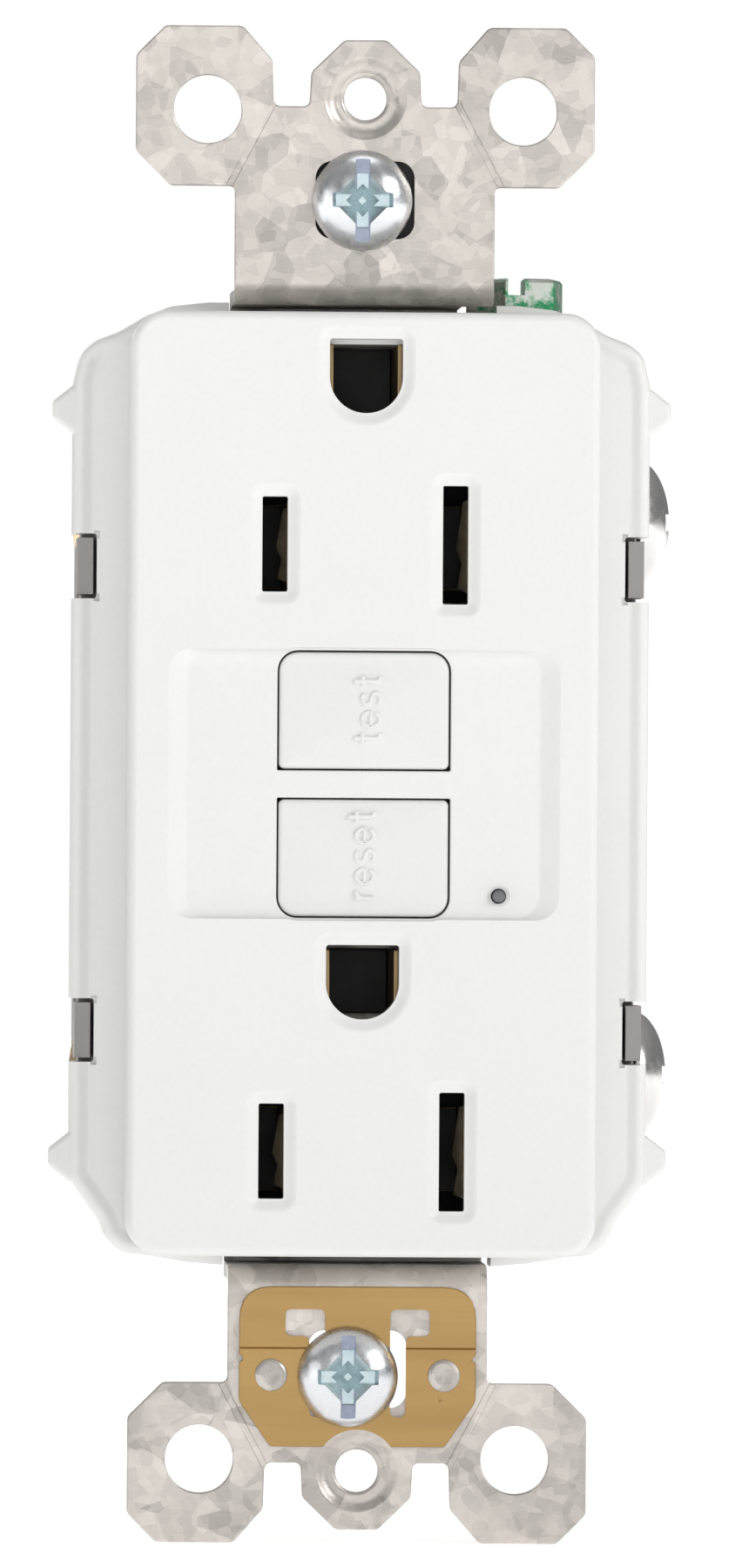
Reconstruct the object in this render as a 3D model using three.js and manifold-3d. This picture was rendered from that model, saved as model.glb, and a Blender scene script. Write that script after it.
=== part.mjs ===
// A 15 A ground-fault receptacle (duplex, with test and reset buttons) as an assembly of its pieces.
// Frame: X right, Z up, the face looks along -Y, and y = 0 is the back of the strap's ears, which seats
// on the wall or box. All lengths are in millimetres.
import * as THREE from 'three';
import { mergeVertices } from 'three/addons/utils/BufferGeometryUtils.js';
import Module from 'manifold-3d';

const wasm = await Module();
wasm.setup();

// ---------------------------------------------------------------- driving dimensions
const GAP = 0.3; // clearance between pieces that pass or rest on each other
const ARC_STEPS = 5; // facets on a quarter round
const ROUND_STEPS = 16; // facets round a small cylinder

const FACE = { halfX: 16.5, halfZ: 33.2, radius: 2.5, front: -6.5, wall: 1.8, edge: 0.45 };
const FLANGE = { halfX: 20.4, halfZ: 34.05, front: 1.2, back: 2.8, skirtEnd: 6.9, wall: 1.5 };
const NUB = { z: 26.4, reach: 1.5, halfBase: 1.65, halfTip: 0.75 };
const HOLLOW = { halfX: 15.0, halfZ: 31.0, flangeHalfX: 18.6 };
const WINDOW = { inner: 18.7, spans: [[13.05, 17.65], [-19.7, -15.2]], hookGap: 0.3 };

const OUTLETS = [
  { name: 'upper', groundZ: 28.7, bladeZ: 16.85 },
  { name: 'lower', groundZ: -13.9, bladeZ: -25.8 },
];
const BLADE = { x: 6.35, slotX: 1.8, hot: 6.7, neutral: 8.35 };
const GROUND_HOLE = { halfX: 2.58, halfZ: 2.62 };

const POCKET = { halfX: 13.85, floorHalfX: 12.3, halfZ: 9.5, depth: 0.6 };
const WELL = {
  halfX: 6.1, near: 0.96, far: 9.4, radius: 1.45, clear: 0.16, sleeveWall: 1.4, sleeveEnd: -1.0,
};
const BUTTON = { front: -5.95, back: 3.0, edge: 0.3 };
const BUTTON_LIP = { halfX: 7.0, y: [-0.7, 0.8], z: [0.5, 10.3] };
const SHAFT_Z = 5.2; // the test spring's axis is at +Z and the reset pin's at -Z of this
const PIPE = { x: 9.53, z: -7.8, tipRadius: 0.45, bodyRadius: 1.25, hole: 0.52 };

const STRAP = {
  thick: 1.1, neckHalfX: 9.17, neckZ: 42.2, legNear: 33.85, bend: 0.6, webFront: 8.9, webBack: 10.0,
};
const EAR = { near: 6.6, far: 16.2, low: 42.2, high: 53.5, holeX: 11.14, holeZ: 47.6, holeRadius: 2.4 };
const TAB = { halfX: 3.83, tipHalfX: 1.5, shoulderZ: 50.3, tipZ: 52.55, notchZ: 47.85, notchX: 4.05 };
const PLATE_HOLE = { z: 48.42, radius: 1.5, sinkRadius: 2.85, sinkDepth: 0.5 };
const BOX_SLOT = { halfX: 3.5, low: 38.5, high: 44.0, radius: 1.2 };
const WEB_WINDOW = {
  webHalfX: 15.0, webHalfZ: 31.5, far: 13.8, near: 3.6, centreZ: 11.3, sideZ: [13.0, 31.0], lowerZ: -18.0,
};

const GROUND_TAB = { x: [7.4, 14.9], y: [2.9, 10.0], z: [32.2, 33.3], bay: [7.0, 15.2], bayFront: 1.5 };
const GROUND_SCREW = {
  x: 10.9, y: 5.5, flats: 6.35, head: 2.6, shank: 1.75, tipZ: 28.5, turn: 18,
  slot: 1.2, slotDepth: 1.2,
};
const CLIP = {
  halfX: 8.35, top: -35.4, bottom: -46.7, lowHalfX: 6.15, cutZ: -43.5, thick: 0.4, radius: 2.6,
  gap: 0.03, rivetGap: 0.02, notch: 2.95,
};
const CLIP_SLIT = { x: [2.3, 3.4], z: [-44.6, -37.0], foot: 5.1, footZ: [-38.9, -37.0] };
const RIVET = { x: 6.1, z: -41.65, radius: 1.15, shank: 0.7, rise: 0.3 };
const BOX_SCREWS = [
  { name: 'upper', x: -0.2, z: 41.2, seat: -1.15 },
  { name: 'lower', x: -0.7, z: -41.75, seat: -1.6 },
];
const BOX_SCREW = {
  headRadius: 3.55, headHigh: 2.1, shank: 1.7, tip: 19.0, slot: 1.05, slotDepth: 1.2, cross: 4.35,
};
const RETAINER = { halfX: 4.7, halfZ: 3.9, front: 0.15, back: 0.85, hole: 2.0 };

const BODY = { front: 7.2, back: 26.0, halfX: 19.8, halfZ: 33.4, wall: 1.5, floor: 1.5, radius: 7.0 };
const BAY = { halfZ: 6.2, wallX: [13.7, 15.2], y: [8.8, 19.5], wireX: 16.9, wireZ: 3.2, wireRadius: 1.25 };
const TERMINALS = [{ name: 'upper', z: 18.9 }, { name: 'lower', z: -20.5 }];
const SIDES = [
  { name: 'hot', side: -1, backedOut: 0, metal: 'brass' },
  { name: 'neutral', side: 1, backedOut: 2.2, metal: 'steel' },
];
const TERMINAL = { y: 13.5, plateX: [15.5, 16.5], clampX: [16.7, 17.7], headX: 17.9, tipX: 14.0 };
const TERMINAL_SCREW = { headRadius: 4.5, headHigh: 2.4, shank: 1.8, slot: 1.2, slotDepth: 1.1 };

const SEPARATOR = { front: 10.3, back: 11.5, halfX: 17.8, halfZ: 31.6, radius: 5.2 };
const BOARD = { front: 12.2, back: 13.6, halfX: 11.0, halfZ: 30.5 };
const RAIL = { x: [11.3, 13.4], y: [6.4, 7.0], jawHalf: 3.0, jawSpan: [0.88, 1.28], jawFront: -4.2 };
const DROP = { x: [11.3, 12.1], z: [-9.0, -6.5], footX: 8.2, footY: [14.2, 14.9], tip: 15.3 };
const PIN = { headRadius: 2.4, head: [3.2, 3.9], shaft: 0.9, neck: 0.55, neckY: [12.3, 15.9], tip: 18.0 };
const LATCH = {
  y: [15.0, 15.6], z: [-9.5, -0.1], halfX: 3.0, travel: 1.2, tabHalfX: 2.0, tabEnd: 20.5,
  eye: 1.05, clear: 0.2,
};
const BLOCK = { halfX: 5.5, y: [13.9, 18.8], z: [-9.8, -2.2] };
const BLOCK_WING = { halfX: 10.8, y: [16.5, 17.5], z: [-7.2, -3.2] };
const BLOCK_ARM = { halfX: 2.0, y: [17.5, 18.8], z: [-14.3, -13.5], top: 14.5 };
const ARM = {
  middleX: 9.5, pivotZ: 12, x: [8.1, 10.9], y: [15.6, 16.2], z: [-8.6, 13.5],
  pivotHole: 0.8,
};
const COIL = {
  y: 19.0, frameHalfX: 4.4, frameY: [14.6, 23.9], z: [2.0, 15.7], sheet: 1.0,
  baseSheet: 0.9, plungerHole: 1.8,
};
const SENSOR = { z: 24.0, outer: 7.0, inner: 3.0, y: [15.6, 22.0], wall: 0.8 };
const PIN_HOLE = 1.3;
const GROUND_JAW = { inner: 2.25, outer: 2.65, halfZ: 2.3, leafEnd: 8.7, baseFront: 8.1 };
const TEST_LEAF = { x: [-5.0, -3.0], y: [5.4, 5.7], z: [1.5, 9.5], postZ: 9.2 };
const FIXED_TIP = 1.05;
const TERMINAL_PLATE = { y: [9.4, 18.2], halfZ: 5.5, tabX: 12.4, tabFront: 17.4, tabHalfZ: 2 };
const CLAMP_PLATE = { halfY: 4.1, halfZ: 4.8 };
const TRUSS = { crown: [0.45, 0.93], shoulder: [0.78, 0.68], rim: 0.2, point: 0.6 };
const BOBBIN = { bore: 1.75, tube: 2.3, cheek: 4.0, cheekThick: 0.8, clear: 0.2 };
const WINDING = { inner: 2.45, outer: 3.8, clear: 1.2 };
const PLUNGER = { tip: 1.1, radius: 1.5, z: [0.4, 13.0], taper: 0.4 };
const CORES = { fault: [16.6, 18.9], neutral: [19.2, 21.5], clear: 0.2 };
const POSTS = { x: [11.5, 13.2], z: [-25.8, -21, 9, 16.85], half: 0.8 };
const BUTTON_SPRING = { radius: 1.5, wire: 0.25, turns: 4.5, to: 10.25 };
const CHIP = { x: [5.2, 10.2], z: [3, 11], back: 15.1 };
const THYRISTOR = { x: [-9.5, -5.5], z: [4, 8], back: 15.1 };
const ABSORBER = { radius: 4.4, x: [-8.5, -5.5], at: [18.5, -22] };
const CAPACITOR = { radius: 2.6, z: [-28, -19], at: [6.5, 19.5] };
const LAMP = { front: 9.8, radius: 1.3, crown: 0.9, crownY: 9.9, shoulderY: 10.5 };
const LINE_BAR = {
  x: 0.8, thick: 1.0, low: 22.6, high: 14.2, sheet: 0.8, halfZ: 0.5,
  lead: { x: [11.2, 12.1], front: 17.4, z: 18.5 }, arm: [9, 10],
};

// ---------------------------------------------------------------- colours
const FINISH = {
  ivory: { color: 0xefefed, roughness: 0.45, metalness: 0 },
  grey: { color: 0xaca8a5, roughness: 0.5, metalness: 0 },
  dark: { color: 0x3c3d40, roughness: 0.5, metalness: 0 },
  zinc: { color: 0xcdc6be, roughness: 0.35, metalness: 0.9 },
  steel: { color: 0xb9bcc2, roughness: 0.3, metalness: 1 },
  brass: { color: 0xc9a45a, roughness: 0.35, metalness: 1 },
  copper: { color: 0xb8734a, roughness: 0.4, metalness: 1 },
  green: { color: 0x2f7a4c, roughness: 0.4, metalness: 0.5 },
  board: { color: 0x2d6b45, roughness: 0.55, metalness: 0 },
  blue: { color: 0x3f6fae, roughness: 0.5, metalness: 0 },
  clear: { color: 0x9a9c9e, roughness: 0.15, metalness: 0 },
};

// ---------------------------------------------------------------- solids
function solid(geometry) {
  geometry.deleteAttribute('normal');
  geometry.deleteAttribute('uv');
  const merged = mergeVertices(geometry, 1e-5);
  return new wasm.Manifold(new wasm.Mesh({
    numProp: 3,
    vertProperties: new Float32Array(merged.attributes.position.array),
    triVerts: new Uint32Array(merged.index.array),
  }));
}

function geometryOf(body) {
  const mesh = body.getMesh();
  const geometry = new THREE.BufferGeometry();
  geometry.setAttribute('position', new THREE.BufferAttribute(mesh.vertProperties, 3));
  geometry.setIndex(new THREE.BufferAttribute(mesh.triVerts, 1));
  geometry.computeVertexNormals();
  return geometry;
}

const joined = (...bodies) => bodies.flat().reduce((sum, body) => sum.add(body));
const cut = (body, ...tools) => tools.flat().reduce((rest, tool) => rest.subtract(tool), body);

function box([x0, x1], [y0, y1], [z0, z1]) {
  const geometry = new THREE.BoxGeometry(Math.abs(x1 - x0), Math.abs(y1 - y0), Math.abs(z1 - z0));
  geometry.translate((x0 + x1) / 2, (y0 + y1) / 2, (z0 + z1) / 2);
  return solid(geometry);
}

// A box given by its x span on the right, made on the side asked for.
function sideBox(side, x, y, z) {
  const ends = x.map((value) => side * value);
  return box([Math.min(...ends), Math.max(...ends)], y, z);
}

// A piece made on the right (neutral) side, or its mirror image on the left.
const onSide = (side, body) => (side > 0 ? body : body.mirror([1, 0, 0]));

// Turns a geometry that was made along +Y so that it lies along the named axis.
function along(geometry, axis) {
  if (axis === 'z') geometry.rotateX(Math.PI / 2);
  if (axis === 'x') geometry.rotateZ(-Math.PI / 2);
  return geometry;
}

function rod(radius, from, to, at, axis = 'y', steps = ROUND_STEPS) {
  const geometry = along(new THREE.CylinderGeometry(radius, radius, to - from, steps), axis);
  const middle = (from + to) / 2;
  const place = { x: [middle, at[0], at[1]], y: [at[0], middle, at[1]], z: [at[0], at[1], middle] }[axis];
  return solid(geometry.translate(...place));
}

// A turned piece: profile points are [radius, station] and close on the axis or on themselves.
function turned(profile, at, axis = 'y', steps = ROUND_STEPS) {
  const geometry = along(new THREE.LatheGeometry(profile.map(([r, s]) => new THREE.Vector2(r, s)),
    steps), axis);
  const place = { x: [0, at[0], at[1]], y: [at[0], 0, at[1]], z: [at[0], at[1], 0] }[axis];
  return solid(geometry.translate(...place));
}

// A flat outline in X and Z, carried from y0 to y1.
function slab(outline, y0, y1, bevel = 0) {
  const geometry = new THREE.ExtrudeGeometry(outline, {
    depth: y1 - y0 - 2 * bevel,
    bevelEnabled: bevel > 0,
    bevelThickness: bevel,
    bevelSize: bevel,
    bevelOffset: -bevel,
    bevelSegments: 2,
    curveSegments: ARC_STEPS,
  });
  geometry.rotateX(Math.PI / 2);
  return solid(geometry.translate(0, y1 - bevel, 0));
}

function polygon(points) {
  return new THREE.Shape(points.map(([x, z]) => new THREE.Vector2(x, z)));
}

function roundedRect(x0, x1, z0, z1, radius) {
  const shape = new THREE.Shape();
  shape.moveTo(x0 + radius, z0);
  shape.lineTo(x1 - radius, z0);
  shape.absarc(x1 - radius, z0 + radius, radius, -Math.PI / 2, 0);
  shape.lineTo(x1, z1 - radius);
  shape.absarc(x1 - radius, z1 - radius, radius, 0, Math.PI / 2);
  shape.lineTo(x0 + radius, z1);
  shape.absarc(x0 + radius, z1 - radius, radius, Math.PI / 2, Math.PI);
  shape.lineTo(x0, z0 + radius);
  shape.absarc(x0 + radius, z0 + radius, radius, Math.PI, 1.5 * Math.PI);
  return shape;
}

// A coil spring along an axis, with its wire's section swept round the helix.
function coil({ radius, wire, from, to, turns, at, axis = 'y' }) {
  const steps = Math.round(turns * 9);
  const points = [];
  for (let i = 0; i <= steps; i += 1) {
    const angle = (2 * Math.PI * turns * i) / steps;
    points.push(new THREE.Vector3(radius * Math.cos(angle),
      from + wire + ((to - from - 2 * wire) * i) / steps,
      radius * Math.sin(angle)));
  }
  const section = new THREE.Shape();
  section.absarc(0, 0, wire, 0, 2 * Math.PI);
  const extrudePath = new THREE.CatmullRomCurve3(points);
  const geometry = along(new THREE.ExtrudeGeometry(section, { steps, extrudePath, curveSegments: 3 }), axis);
  const place = { x: [0, at[0], at[1]], y: [at[0], 0, at[1]], z: [at[0], at[1], 0] }[axis];
  return solid(geometry.translate(...place));
}

// ---------------------------------------------------------------- assembly
const outlet = new THREE.Group();

function add(name, finish, body) {
  const mesh = new THREE.Mesh(geometryOf(body), new THREE.MeshStandardMaterial(FINISH[finish]));
  mesh.name = name;
  outlet.add(mesh);
}

// ---------------------------------------------------------------- front cover
function flangeOutline() {
  const right = [[9.2, 34.05], [11, 34.05], [13.6, 33.75], [15.3, 33.1], [17.3, 31.9], [18.9, 31.3],
    [19.9, 30.5],
    [20.4, 28.3], [20.4, -27.9], [18.2, -31.0], [17.9, -32.0], [16.7, -33.2], [14.9, -33.35], [12.2, -33.8],
    [9.2, -34.05]];
  const left = right.map(([x, z]) => [-x, z]).reverse();
  return polygon([...right, ...left]);
}

function nub(side, end) {
  const root = side * (FLANGE.halfX - 0.5);
  const tip = side * (FLANGE.halfX + NUB.reach);
  const z = end * NUB.z;
  return slab(polygon([[root, z - NUB.halfBase], [tip, z - NUB.halfTip], [tip, z + NUB.halfTip],
    [root, z + NUB.halfBase]]), FLANGE.front + 0.2, FLANGE.back);
}

function groundHole(z) {
  const shape = new THREE.Shape();
  const { halfX, halfZ } = GROUND_HOLE;
  shape.moveTo(halfX, z + halfZ);
  shape.lineTo(-halfX, z + halfZ);
  shape.absarc(0, z - halfZ + halfX, halfX, Math.PI, 2 * Math.PI);
  return slab(shape, FACE.front - 1, FACE.front + 3);
}

function bladeSlot(side, z, long) {
  const x = side * BLADE.x;
  return box([x - BLADE.slotX / 2, x + BLADE.slotX / 2], [FACE.front - 1, FACE.front + 3],
    [z - long / 2, z + long / 2]);
}

// The two wells and the two buttons share this outline: sharp next to the bar, rounded on the far side.
function wellOutline(up, clear) {
  const half = WELL.halfX - clear;
  const near = WELL.near + clear;
  const far = WELL.far - clear;
  const radius = WELL.radius - clear;
  const shape = new THREE.Shape();
  shape.moveTo(-half, near);
  shape.lineTo(half, near);
  shape.absarc(half - radius, far - radius, radius, 0, Math.PI / 2);
  shape.absarc(-half + radius, far - radius, radius, Math.PI / 2, Math.PI);
  return up > 0 ? shape
    : new THREE.Shape(shape.getPoints(ARC_STEPS).map((p) => new THREE.Vector2(-p.x, -p.y)));
}

function buttonPocket() {
  const { front } = FACE;
  const { halfX, floorHalfX, halfZ, depth } = POCKET;
  const section = polygon([[-halfX, -front + 0.001], [-floorHalfX, -front - depth],
    [floorHalfX, -front - depth],
    [halfX, -front + 0.001]]);
  const geometry = new THREE.ExtrudeGeometry(section, { depth: 2 * halfZ, bevelEnabled: false });
  return solid(geometry.rotateX(Math.PI).translate(0, 0, halfZ));
}

function frontCover() {
  const { halfX, halfZ, front } = FACE;
  const face = slab(roundedRect(-halfX, halfX, -halfZ, halfZ, FACE.radius), front, FLANGE.skirtEnd,
    FACE.edge);
  const flange = slab(flangeOutline(), FLANGE.front, FLANGE.skirtEnd);
  const nubs = [-1, 1].flatMap((side) => [-1, 1].map((end) => nub(side, end)));
  const hollow = slab(roundedRect(-HOLLOW.halfX, HOLLOW.halfX, -HOLLOW.halfZ, HOLLOW.halfZ, 1.5),
    front + FACE.wall, FLANGE.skirtEnd + 1);
  const wide = slab(roundedRect(-HOLLOW.flangeHalfX, HOLLOW.flangeHalfX, -29.5, 29.5, 1.5),
    FLANGE.back, FLANGE.skirtEnd + 1);
  const sleeveX = WELL.halfX + WELL.sleeveWall;
  const sleeveZ = WELL.far + WELL.sleeveWall;
  const sleeve = box([-sleeveX, sleeveX], [front + FACE.wall - 0.5, WELL.sleeveEnd], [-sleeveZ, sleeveZ]);
  const shell = joined(cut(joined(face, flange, nubs), hollow, wide), sleeve);
  const legs = [-1, 1].map((end) => sideEnd(end, STRAP.neckHalfX + GAP,
    [FLANGE.front - 1, FLANGE.skirtEnd + 1],
    [FACE.halfZ + 0.15, 36]));
  const windows = WINDOW.spans.flatMap((span) => [-1, 1].map((side) => sideBox(side,
    [WINDOW.inner, FLANGE.halfX + 1], [FLANGE.front - 1, FLANGE.skirtEnd + 1], span)));
  const screwBay = box(GROUND_TAB.bay, [GROUND_TAB.bayFront, FLANGE.skirtEnd + 1],
    [GROUND_TAB.z[0] - GAP, 36]);
  const screwPath = rod(GROUND_SCREW.shank + 0.35, 29, 34, [GROUND_SCREW.x, GROUND_SCREW.y], 'z');
  const wells = [-1, 1].map((up) => slab(wellOutline(up, 0), front - 1, WELL.sleeveEnd + 1));
  const holes = OUTLETS.flatMap((one) => [groundHole(one.groundZ), bladeSlot(-1, one.bladeZ, BLADE.hot),
    bladeSlot(1, one.bladeZ, BLADE.neutral)]);
  const lamp = rod(PIPE.hole, front - 1, front + 3, [PIPE.x, PIPE.z], 'y', 12);
  return cut(shell, legs, windows, screwBay, screwPath, buttonPocket(), wells, holes, lamp);
}

// A box centred on x = 0 at one end of the device, given by its z span at the upper end.
function sideEnd(end, halfX, y, z) {
  return box([-halfX, halfX], y, end > 0 ? z : [-z[1], -z[0]]);
}

// ---------------------------------------------------------------- buttons
function button(up) {
  const cap = slab(wellOutline(up, WELL.clear), BUTTON.front, BUTTON.back, BUTTON.edge);
  const lip = sideEnd(up, BUTTON_LIP.halfX, BUTTON_LIP.y, BUTTON_LIP.z);
  return joined(cap, lip);
}

function resetPin() {
  const { head, headRadius, shaft, neck, neckY, tip } = PIN;
  return turned([[0, head[0]], [headRadius, head[0]], [headRadius, head[1]], [shaft, head[1]],
    [shaft, neckY[0]],
    [neck, neckY[0]], [neck, neckY[1]], [shaft, neckY[1] + 0.35], [shaft, tip - 0.8], [0.2, tip], [0, tip]],
  [0, -SHAFT_Z], 'y', 12);
}

function testLeaf() {
  const { x, y, z, postZ } = TEST_LEAF;
  const blade = box(x, y, z);
  const post = box(x, [y[0], SEPARATOR.front - 0.1], [postZ, z[1]]);
  return joined(blade, post);
}

// ---------------------------------------------------------------- strap
function earOutline(side) {
  const { near, far, low, high } = EAR;
  const points = [[near - 3, low], [far - 2.45, low], [far, low + 2.45], [far, high - 2.05],
    [far - 2.05, high],
    [near + 2.1, high], [near, high - 2.4], [near, 46], [near - 3, 46]];
  return polygon(points.map(([x, z]) => [side * x, z]));
}

function strapEnd() {
  const front = -STRAP.thick;
  const ears = [-1, 1].map((side) => slab(earOutline(side), front, 0));
  const neck = box([-STRAP.neckHalfX, STRAP.neckHalfX], [front, 0], [STRAP.legNear + 2, STRAP.neckZ + 1]);
  const bridge = box([-TAB.notchX - 3, TAB.notchX + 3], [front, 0], [STRAP.neckZ, TAB.notchZ]);
  const tab = slab(polygon([[-TAB.halfX, 46], [TAB.halfX, 46], [TAB.halfX, TAB.shoulderZ],
    [TAB.tipHalfX, TAB.tipZ],
    [-TAB.tipHalfX, TAB.tipZ], [-TAB.halfX, TAB.shoulderZ]]), front, 0);
  const root = box([-STRAP.neckHalfX, STRAP.neckHalfX], [STRAP.webFront, STRAP.webBack],
    [31, STRAP.legNear + 0.5]);
  const earHoles = [-1, 1].map((side) => rod(EAR.holeRadius, -3, 3, [side * EAR.holeX, EAR.holeZ]));
  const slot = slab(roundedRect(-BOX_SLOT.halfX, BOX_SLOT.halfX, BOX_SLOT.low, BOX_SLOT.high,
    BOX_SLOT.radius), -3, 3);
  return cut(joined(neck, bridge, tab, strapBend(), root, ears), earHoles, plateHole(), slot);
}

// The neck turns back into the device round a bend, as a section in Z and Y carried along X.
function strapBend() {
  const { thick, neckHalfX, legNear, bend, webBack } = STRAP;
  const centreZ = legNear + thick + bend;
  const section = new THREE.Shape();
  section.moveTo(-centreZ - 1, 0);
  section.lineTo(-centreZ, 0);
  section.absarc(-centreZ, bend, bend, -Math.PI / 2, 0);
  section.lineTo(-legNear - thick, webBack);
  section.lineTo(-legNear, webBack);
  section.lineTo(-legNear, bend);
  section.absarc(-centreZ, bend, bend + thick, 0, -Math.PI / 2, true);
  section.lineTo(-centreZ - 1, -thick);
  const geometry = new THREE.ExtrudeGeometry(section,
    { depth: 2 * neckHalfX, bevelEnabled: false, curveSegments: 3 });
  return solid(geometry.rotateY(Math.PI / 2).translate(-neckHalfX, 0, 0));
}

function plateHole() {
  const { z, radius, sinkRadius, sinkDepth } = PLATE_HOLE;
  const front = -STRAP.thick;
  return turned([[0, front - 1], [sinkRadius, front - 1], [sinkRadius, front], [radius, front + sinkDepth],
    [radius, 1], [0, 1]], [0, z]);
}

function strapWeb() {
  const { webHalfX, webHalfZ, far, near, centreZ, sideZ, lowerZ } = WEB_WINDOW;
  const y = [STRAP.webFront, STRAP.webBack];
  const open = [STRAP.webFront - 1, STRAP.webBack + 1];
  const web = slab(roundedRect(-webHalfX, webHalfX, -webHalfZ, webHalfZ, 2), ...y);
  const sides = [-1, 1].flatMap((side) => [sideBox(side, [near, far], open, sideZ),
    sideBox(side, [near, far], open, [-sideZ[1], lowerZ])]);
  return cut(web, sides, box([-far, far], open, [-centreZ, centreZ]));
}

function mountingStrap() {
  const top = strapEnd();
  const bottom = top.mirror([0, 0, 1]);
  const legCut = box([GROUND_TAB.bay[0], 12], [GROUND_TAB.bayFront, STRAP.webBack + 1],
    [GROUND_TAB.z[1] + 0.05, 36]);
  const groundTab = joined(box(GROUND_TAB.x, GROUND_TAB.y, GROUND_TAB.z),
    box(GROUND_TAB.x, [STRAP.webFront, STRAP.webBack], [31, GROUND_TAB.z[1]]));
  const groundHoleInTab = rod(GROUND_SCREW.shank + 0.2, 31.9, 33.6, [GROUND_SCREW.x, GROUND_SCREW.y], 'z');
  const rivetHoles = [-1, 1].map((side) => rod(RIVET.shank + 0.1, -3, 3, [side * RIVET.x, RIVET.z], 'y',
    10));
  return cut(joined(cut(top, legCut), bottom, strapWeb(), groundTab), groundHoleInTab, rivetHoles);
}

function groundClip() {
  const { halfX, top, bottom, lowHalfX, cutZ, thick, radius } = CLIP;
  const shape = new THREE.Shape();
  shape.moveTo(-lowHalfX, bottom);
  shape.lineTo(lowHalfX, bottom);
  shape.lineTo(halfX, cutZ);
  shape.absarc(halfX - radius, top - radius, radius, 0, Math.PI / 2);
  shape.absarc(-halfX + radius, top - radius, radius, Math.PI / 2, Math.PI);
  shape.lineTo(-halfX, cutZ);
  const back = -STRAP.thick - CLIP.gap;
  const sheet = slab(shape, back - thick, back);
  const open = [back - 2, back + 2];
  const slits = [-1, 1].flatMap((side) => [sideBox(side, CLIP_SLIT.x, open, CLIP_SLIT.z),
    sideBox(side, [CLIP_SLIT.x[0], CLIP_SLIT.foot], open, CLIP_SLIT.footZ)]);
  const screwHole = rod(BOX_SCREW.shank + 0.15, ...open, [BOX_SCREWS[1].x, BOX_SCREWS[1].z], 'y', 12);
  const notch = rod(CLIP.notch, ...open, [0, -PLATE_HOLE.z]);
  const rivets = [-1, 1].map((side) => rod(RIVET.shank + 0.1, ...open, [side * RIVET.x, RIVET.z], 'y', 10));
  return cut(sheet, slits, screwHole, notch, rivets);
}

function clipRivet(side) {
  const seat = -STRAP.thick - CLIP.gap - CLIP.thick - CLIP.rivetGap;
  return turned([[0, seat - RIVET.rise], [RIVET.radius - 0.3, seat - RIVET.rise], [RIVET.radius, seat],
    [RIVET.shank, seat], [RIVET.shank, -0.1], [0, -0.1]], [side * RIVET.x, RIVET.z], 'y', 10);
}

// ---------------------------------------------------------------- screws
// A truss head on a plain shank, standing along +Y from its seat, with the head towards -Y.
function trussProfile(headRadius, headHigh, shank, seat, tip) {
  const { crown, shoulder, rim, point } = TRUSS;
  return [[0, seat - headHigh], [headRadius * crown[0], seat - headHigh * crown[1]],
    [headRadius * shoulder[0], seat - headHigh * shoulder[1]],
    [headRadius, seat - headHigh * rim], [headRadius, seat], [shank, seat], [shank, tip - point],
    [shank * point, tip], [0, tip]];
}

function boxScrew({ x, z, seat }) {
  const { headRadius, headHigh, shank, tip, slot, slotDepth, cross } = BOX_SCREW;
  const body = turned(trussProfile(headRadius, headHigh, shank, seat, tip), [x, z], 'y', 20);
  const top = seat - headHigh;
  const deep = [top - 1, top + slotDepth];
  return cut(body, box([x - slot / 2, x + slot / 2], deep, [z - headRadius - 1, z + headRadius + 1]),
    box([x - cross / 2, x + cross / 2], deep, [z - slot / 2, z + slot / 2]));
}

// Terminal screws are made along X on the right.
function terminalScrew(backedOut, z) {
  const { headRadius, headHigh, shank, slot, slotDepth } = TERMINAL_SCREW;
  const seat = TERMINAL.headX + backedOut;
  const tip = TERMINAL.tipX + backedOut;
  const { crown, shoulder, rim, point } = TRUSS;
  const profile = [[0, tip], [shank * point, tip], [shank, tip + point], [shank, seat],
    [headRadius, seat], [headRadius, seat + headHigh * rim],
    [headRadius * shoulder[0], seat + headHigh * shoulder[1]],
    [headRadius * crown[0], seat + headHigh * crown[1]], [0, seat + headHigh]];
  const body = turned(profile, [TERMINAL.y, z], 'x', 18);
  const slotBox = box([seat + headHigh - slotDepth, seat + headHigh + 1],
    [TERMINAL.y - slot / 2, TERMINAL.y + slot / 2], [z - headRadius - 1, z + headRadius + 1]);
  return cut(body, slotBox);
}

function groundScrew() {
  const { x, y, flats, head, shank, tipZ, turn, slot, slotDepth } = GROUND_SCREW;
  const seat = GROUND_TAB.z[1] + 0.05;
  const hex = new THREE.CylinderGeometry(flats / Math.sqrt(3), flats / Math.sqrt(3), head, 6);
  hex.rotateX(Math.PI / 2).rotateZ(THREE.MathUtils.degToRad(turn)).translate(x, y, seat + head / 2);
  const across = box([x - slot / 2, x + slot / 2], [y - flats, y + flats],
    [seat + head - slotDepth, seat + head + 1]);
  return joined(cut(solid(hex), across), rod(shank, tipZ, seat + 0.5, [x, y], 'z', 14));
}

// The upper screw is kept in its slot by a fibre pad behind the strap; the brass clip keeps the lower one.
function retainer({ x, z }) {
  const middle = (BOX_SLOT.low + BOX_SLOT.high) / 2;
  const pad = box([-RETAINER.halfX, RETAINER.halfX], [RETAINER.front, RETAINER.back],
    [middle - RETAINER.halfZ, middle + RETAINER.halfZ]);
  return cut(pad, rod(RETAINER.hole, -2, 3, [x, z], 'y', 12));
}

// ---------------------------------------------------------------- contacts
function groundContact(z) {
  const { inner, outer, halfZ, leafEnd, baseFront } = GROUND_JAW;
  const height = [z - halfZ, z + halfZ];
  const leaves = [-1, 1].map((side) => sideBox(side, [inner, outer], [RAIL.jawFront, leafEnd], height));
  return joined(leaves, box([-outer, outer], [baseFront, STRAP.webFront - 0.05], height));
}

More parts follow.
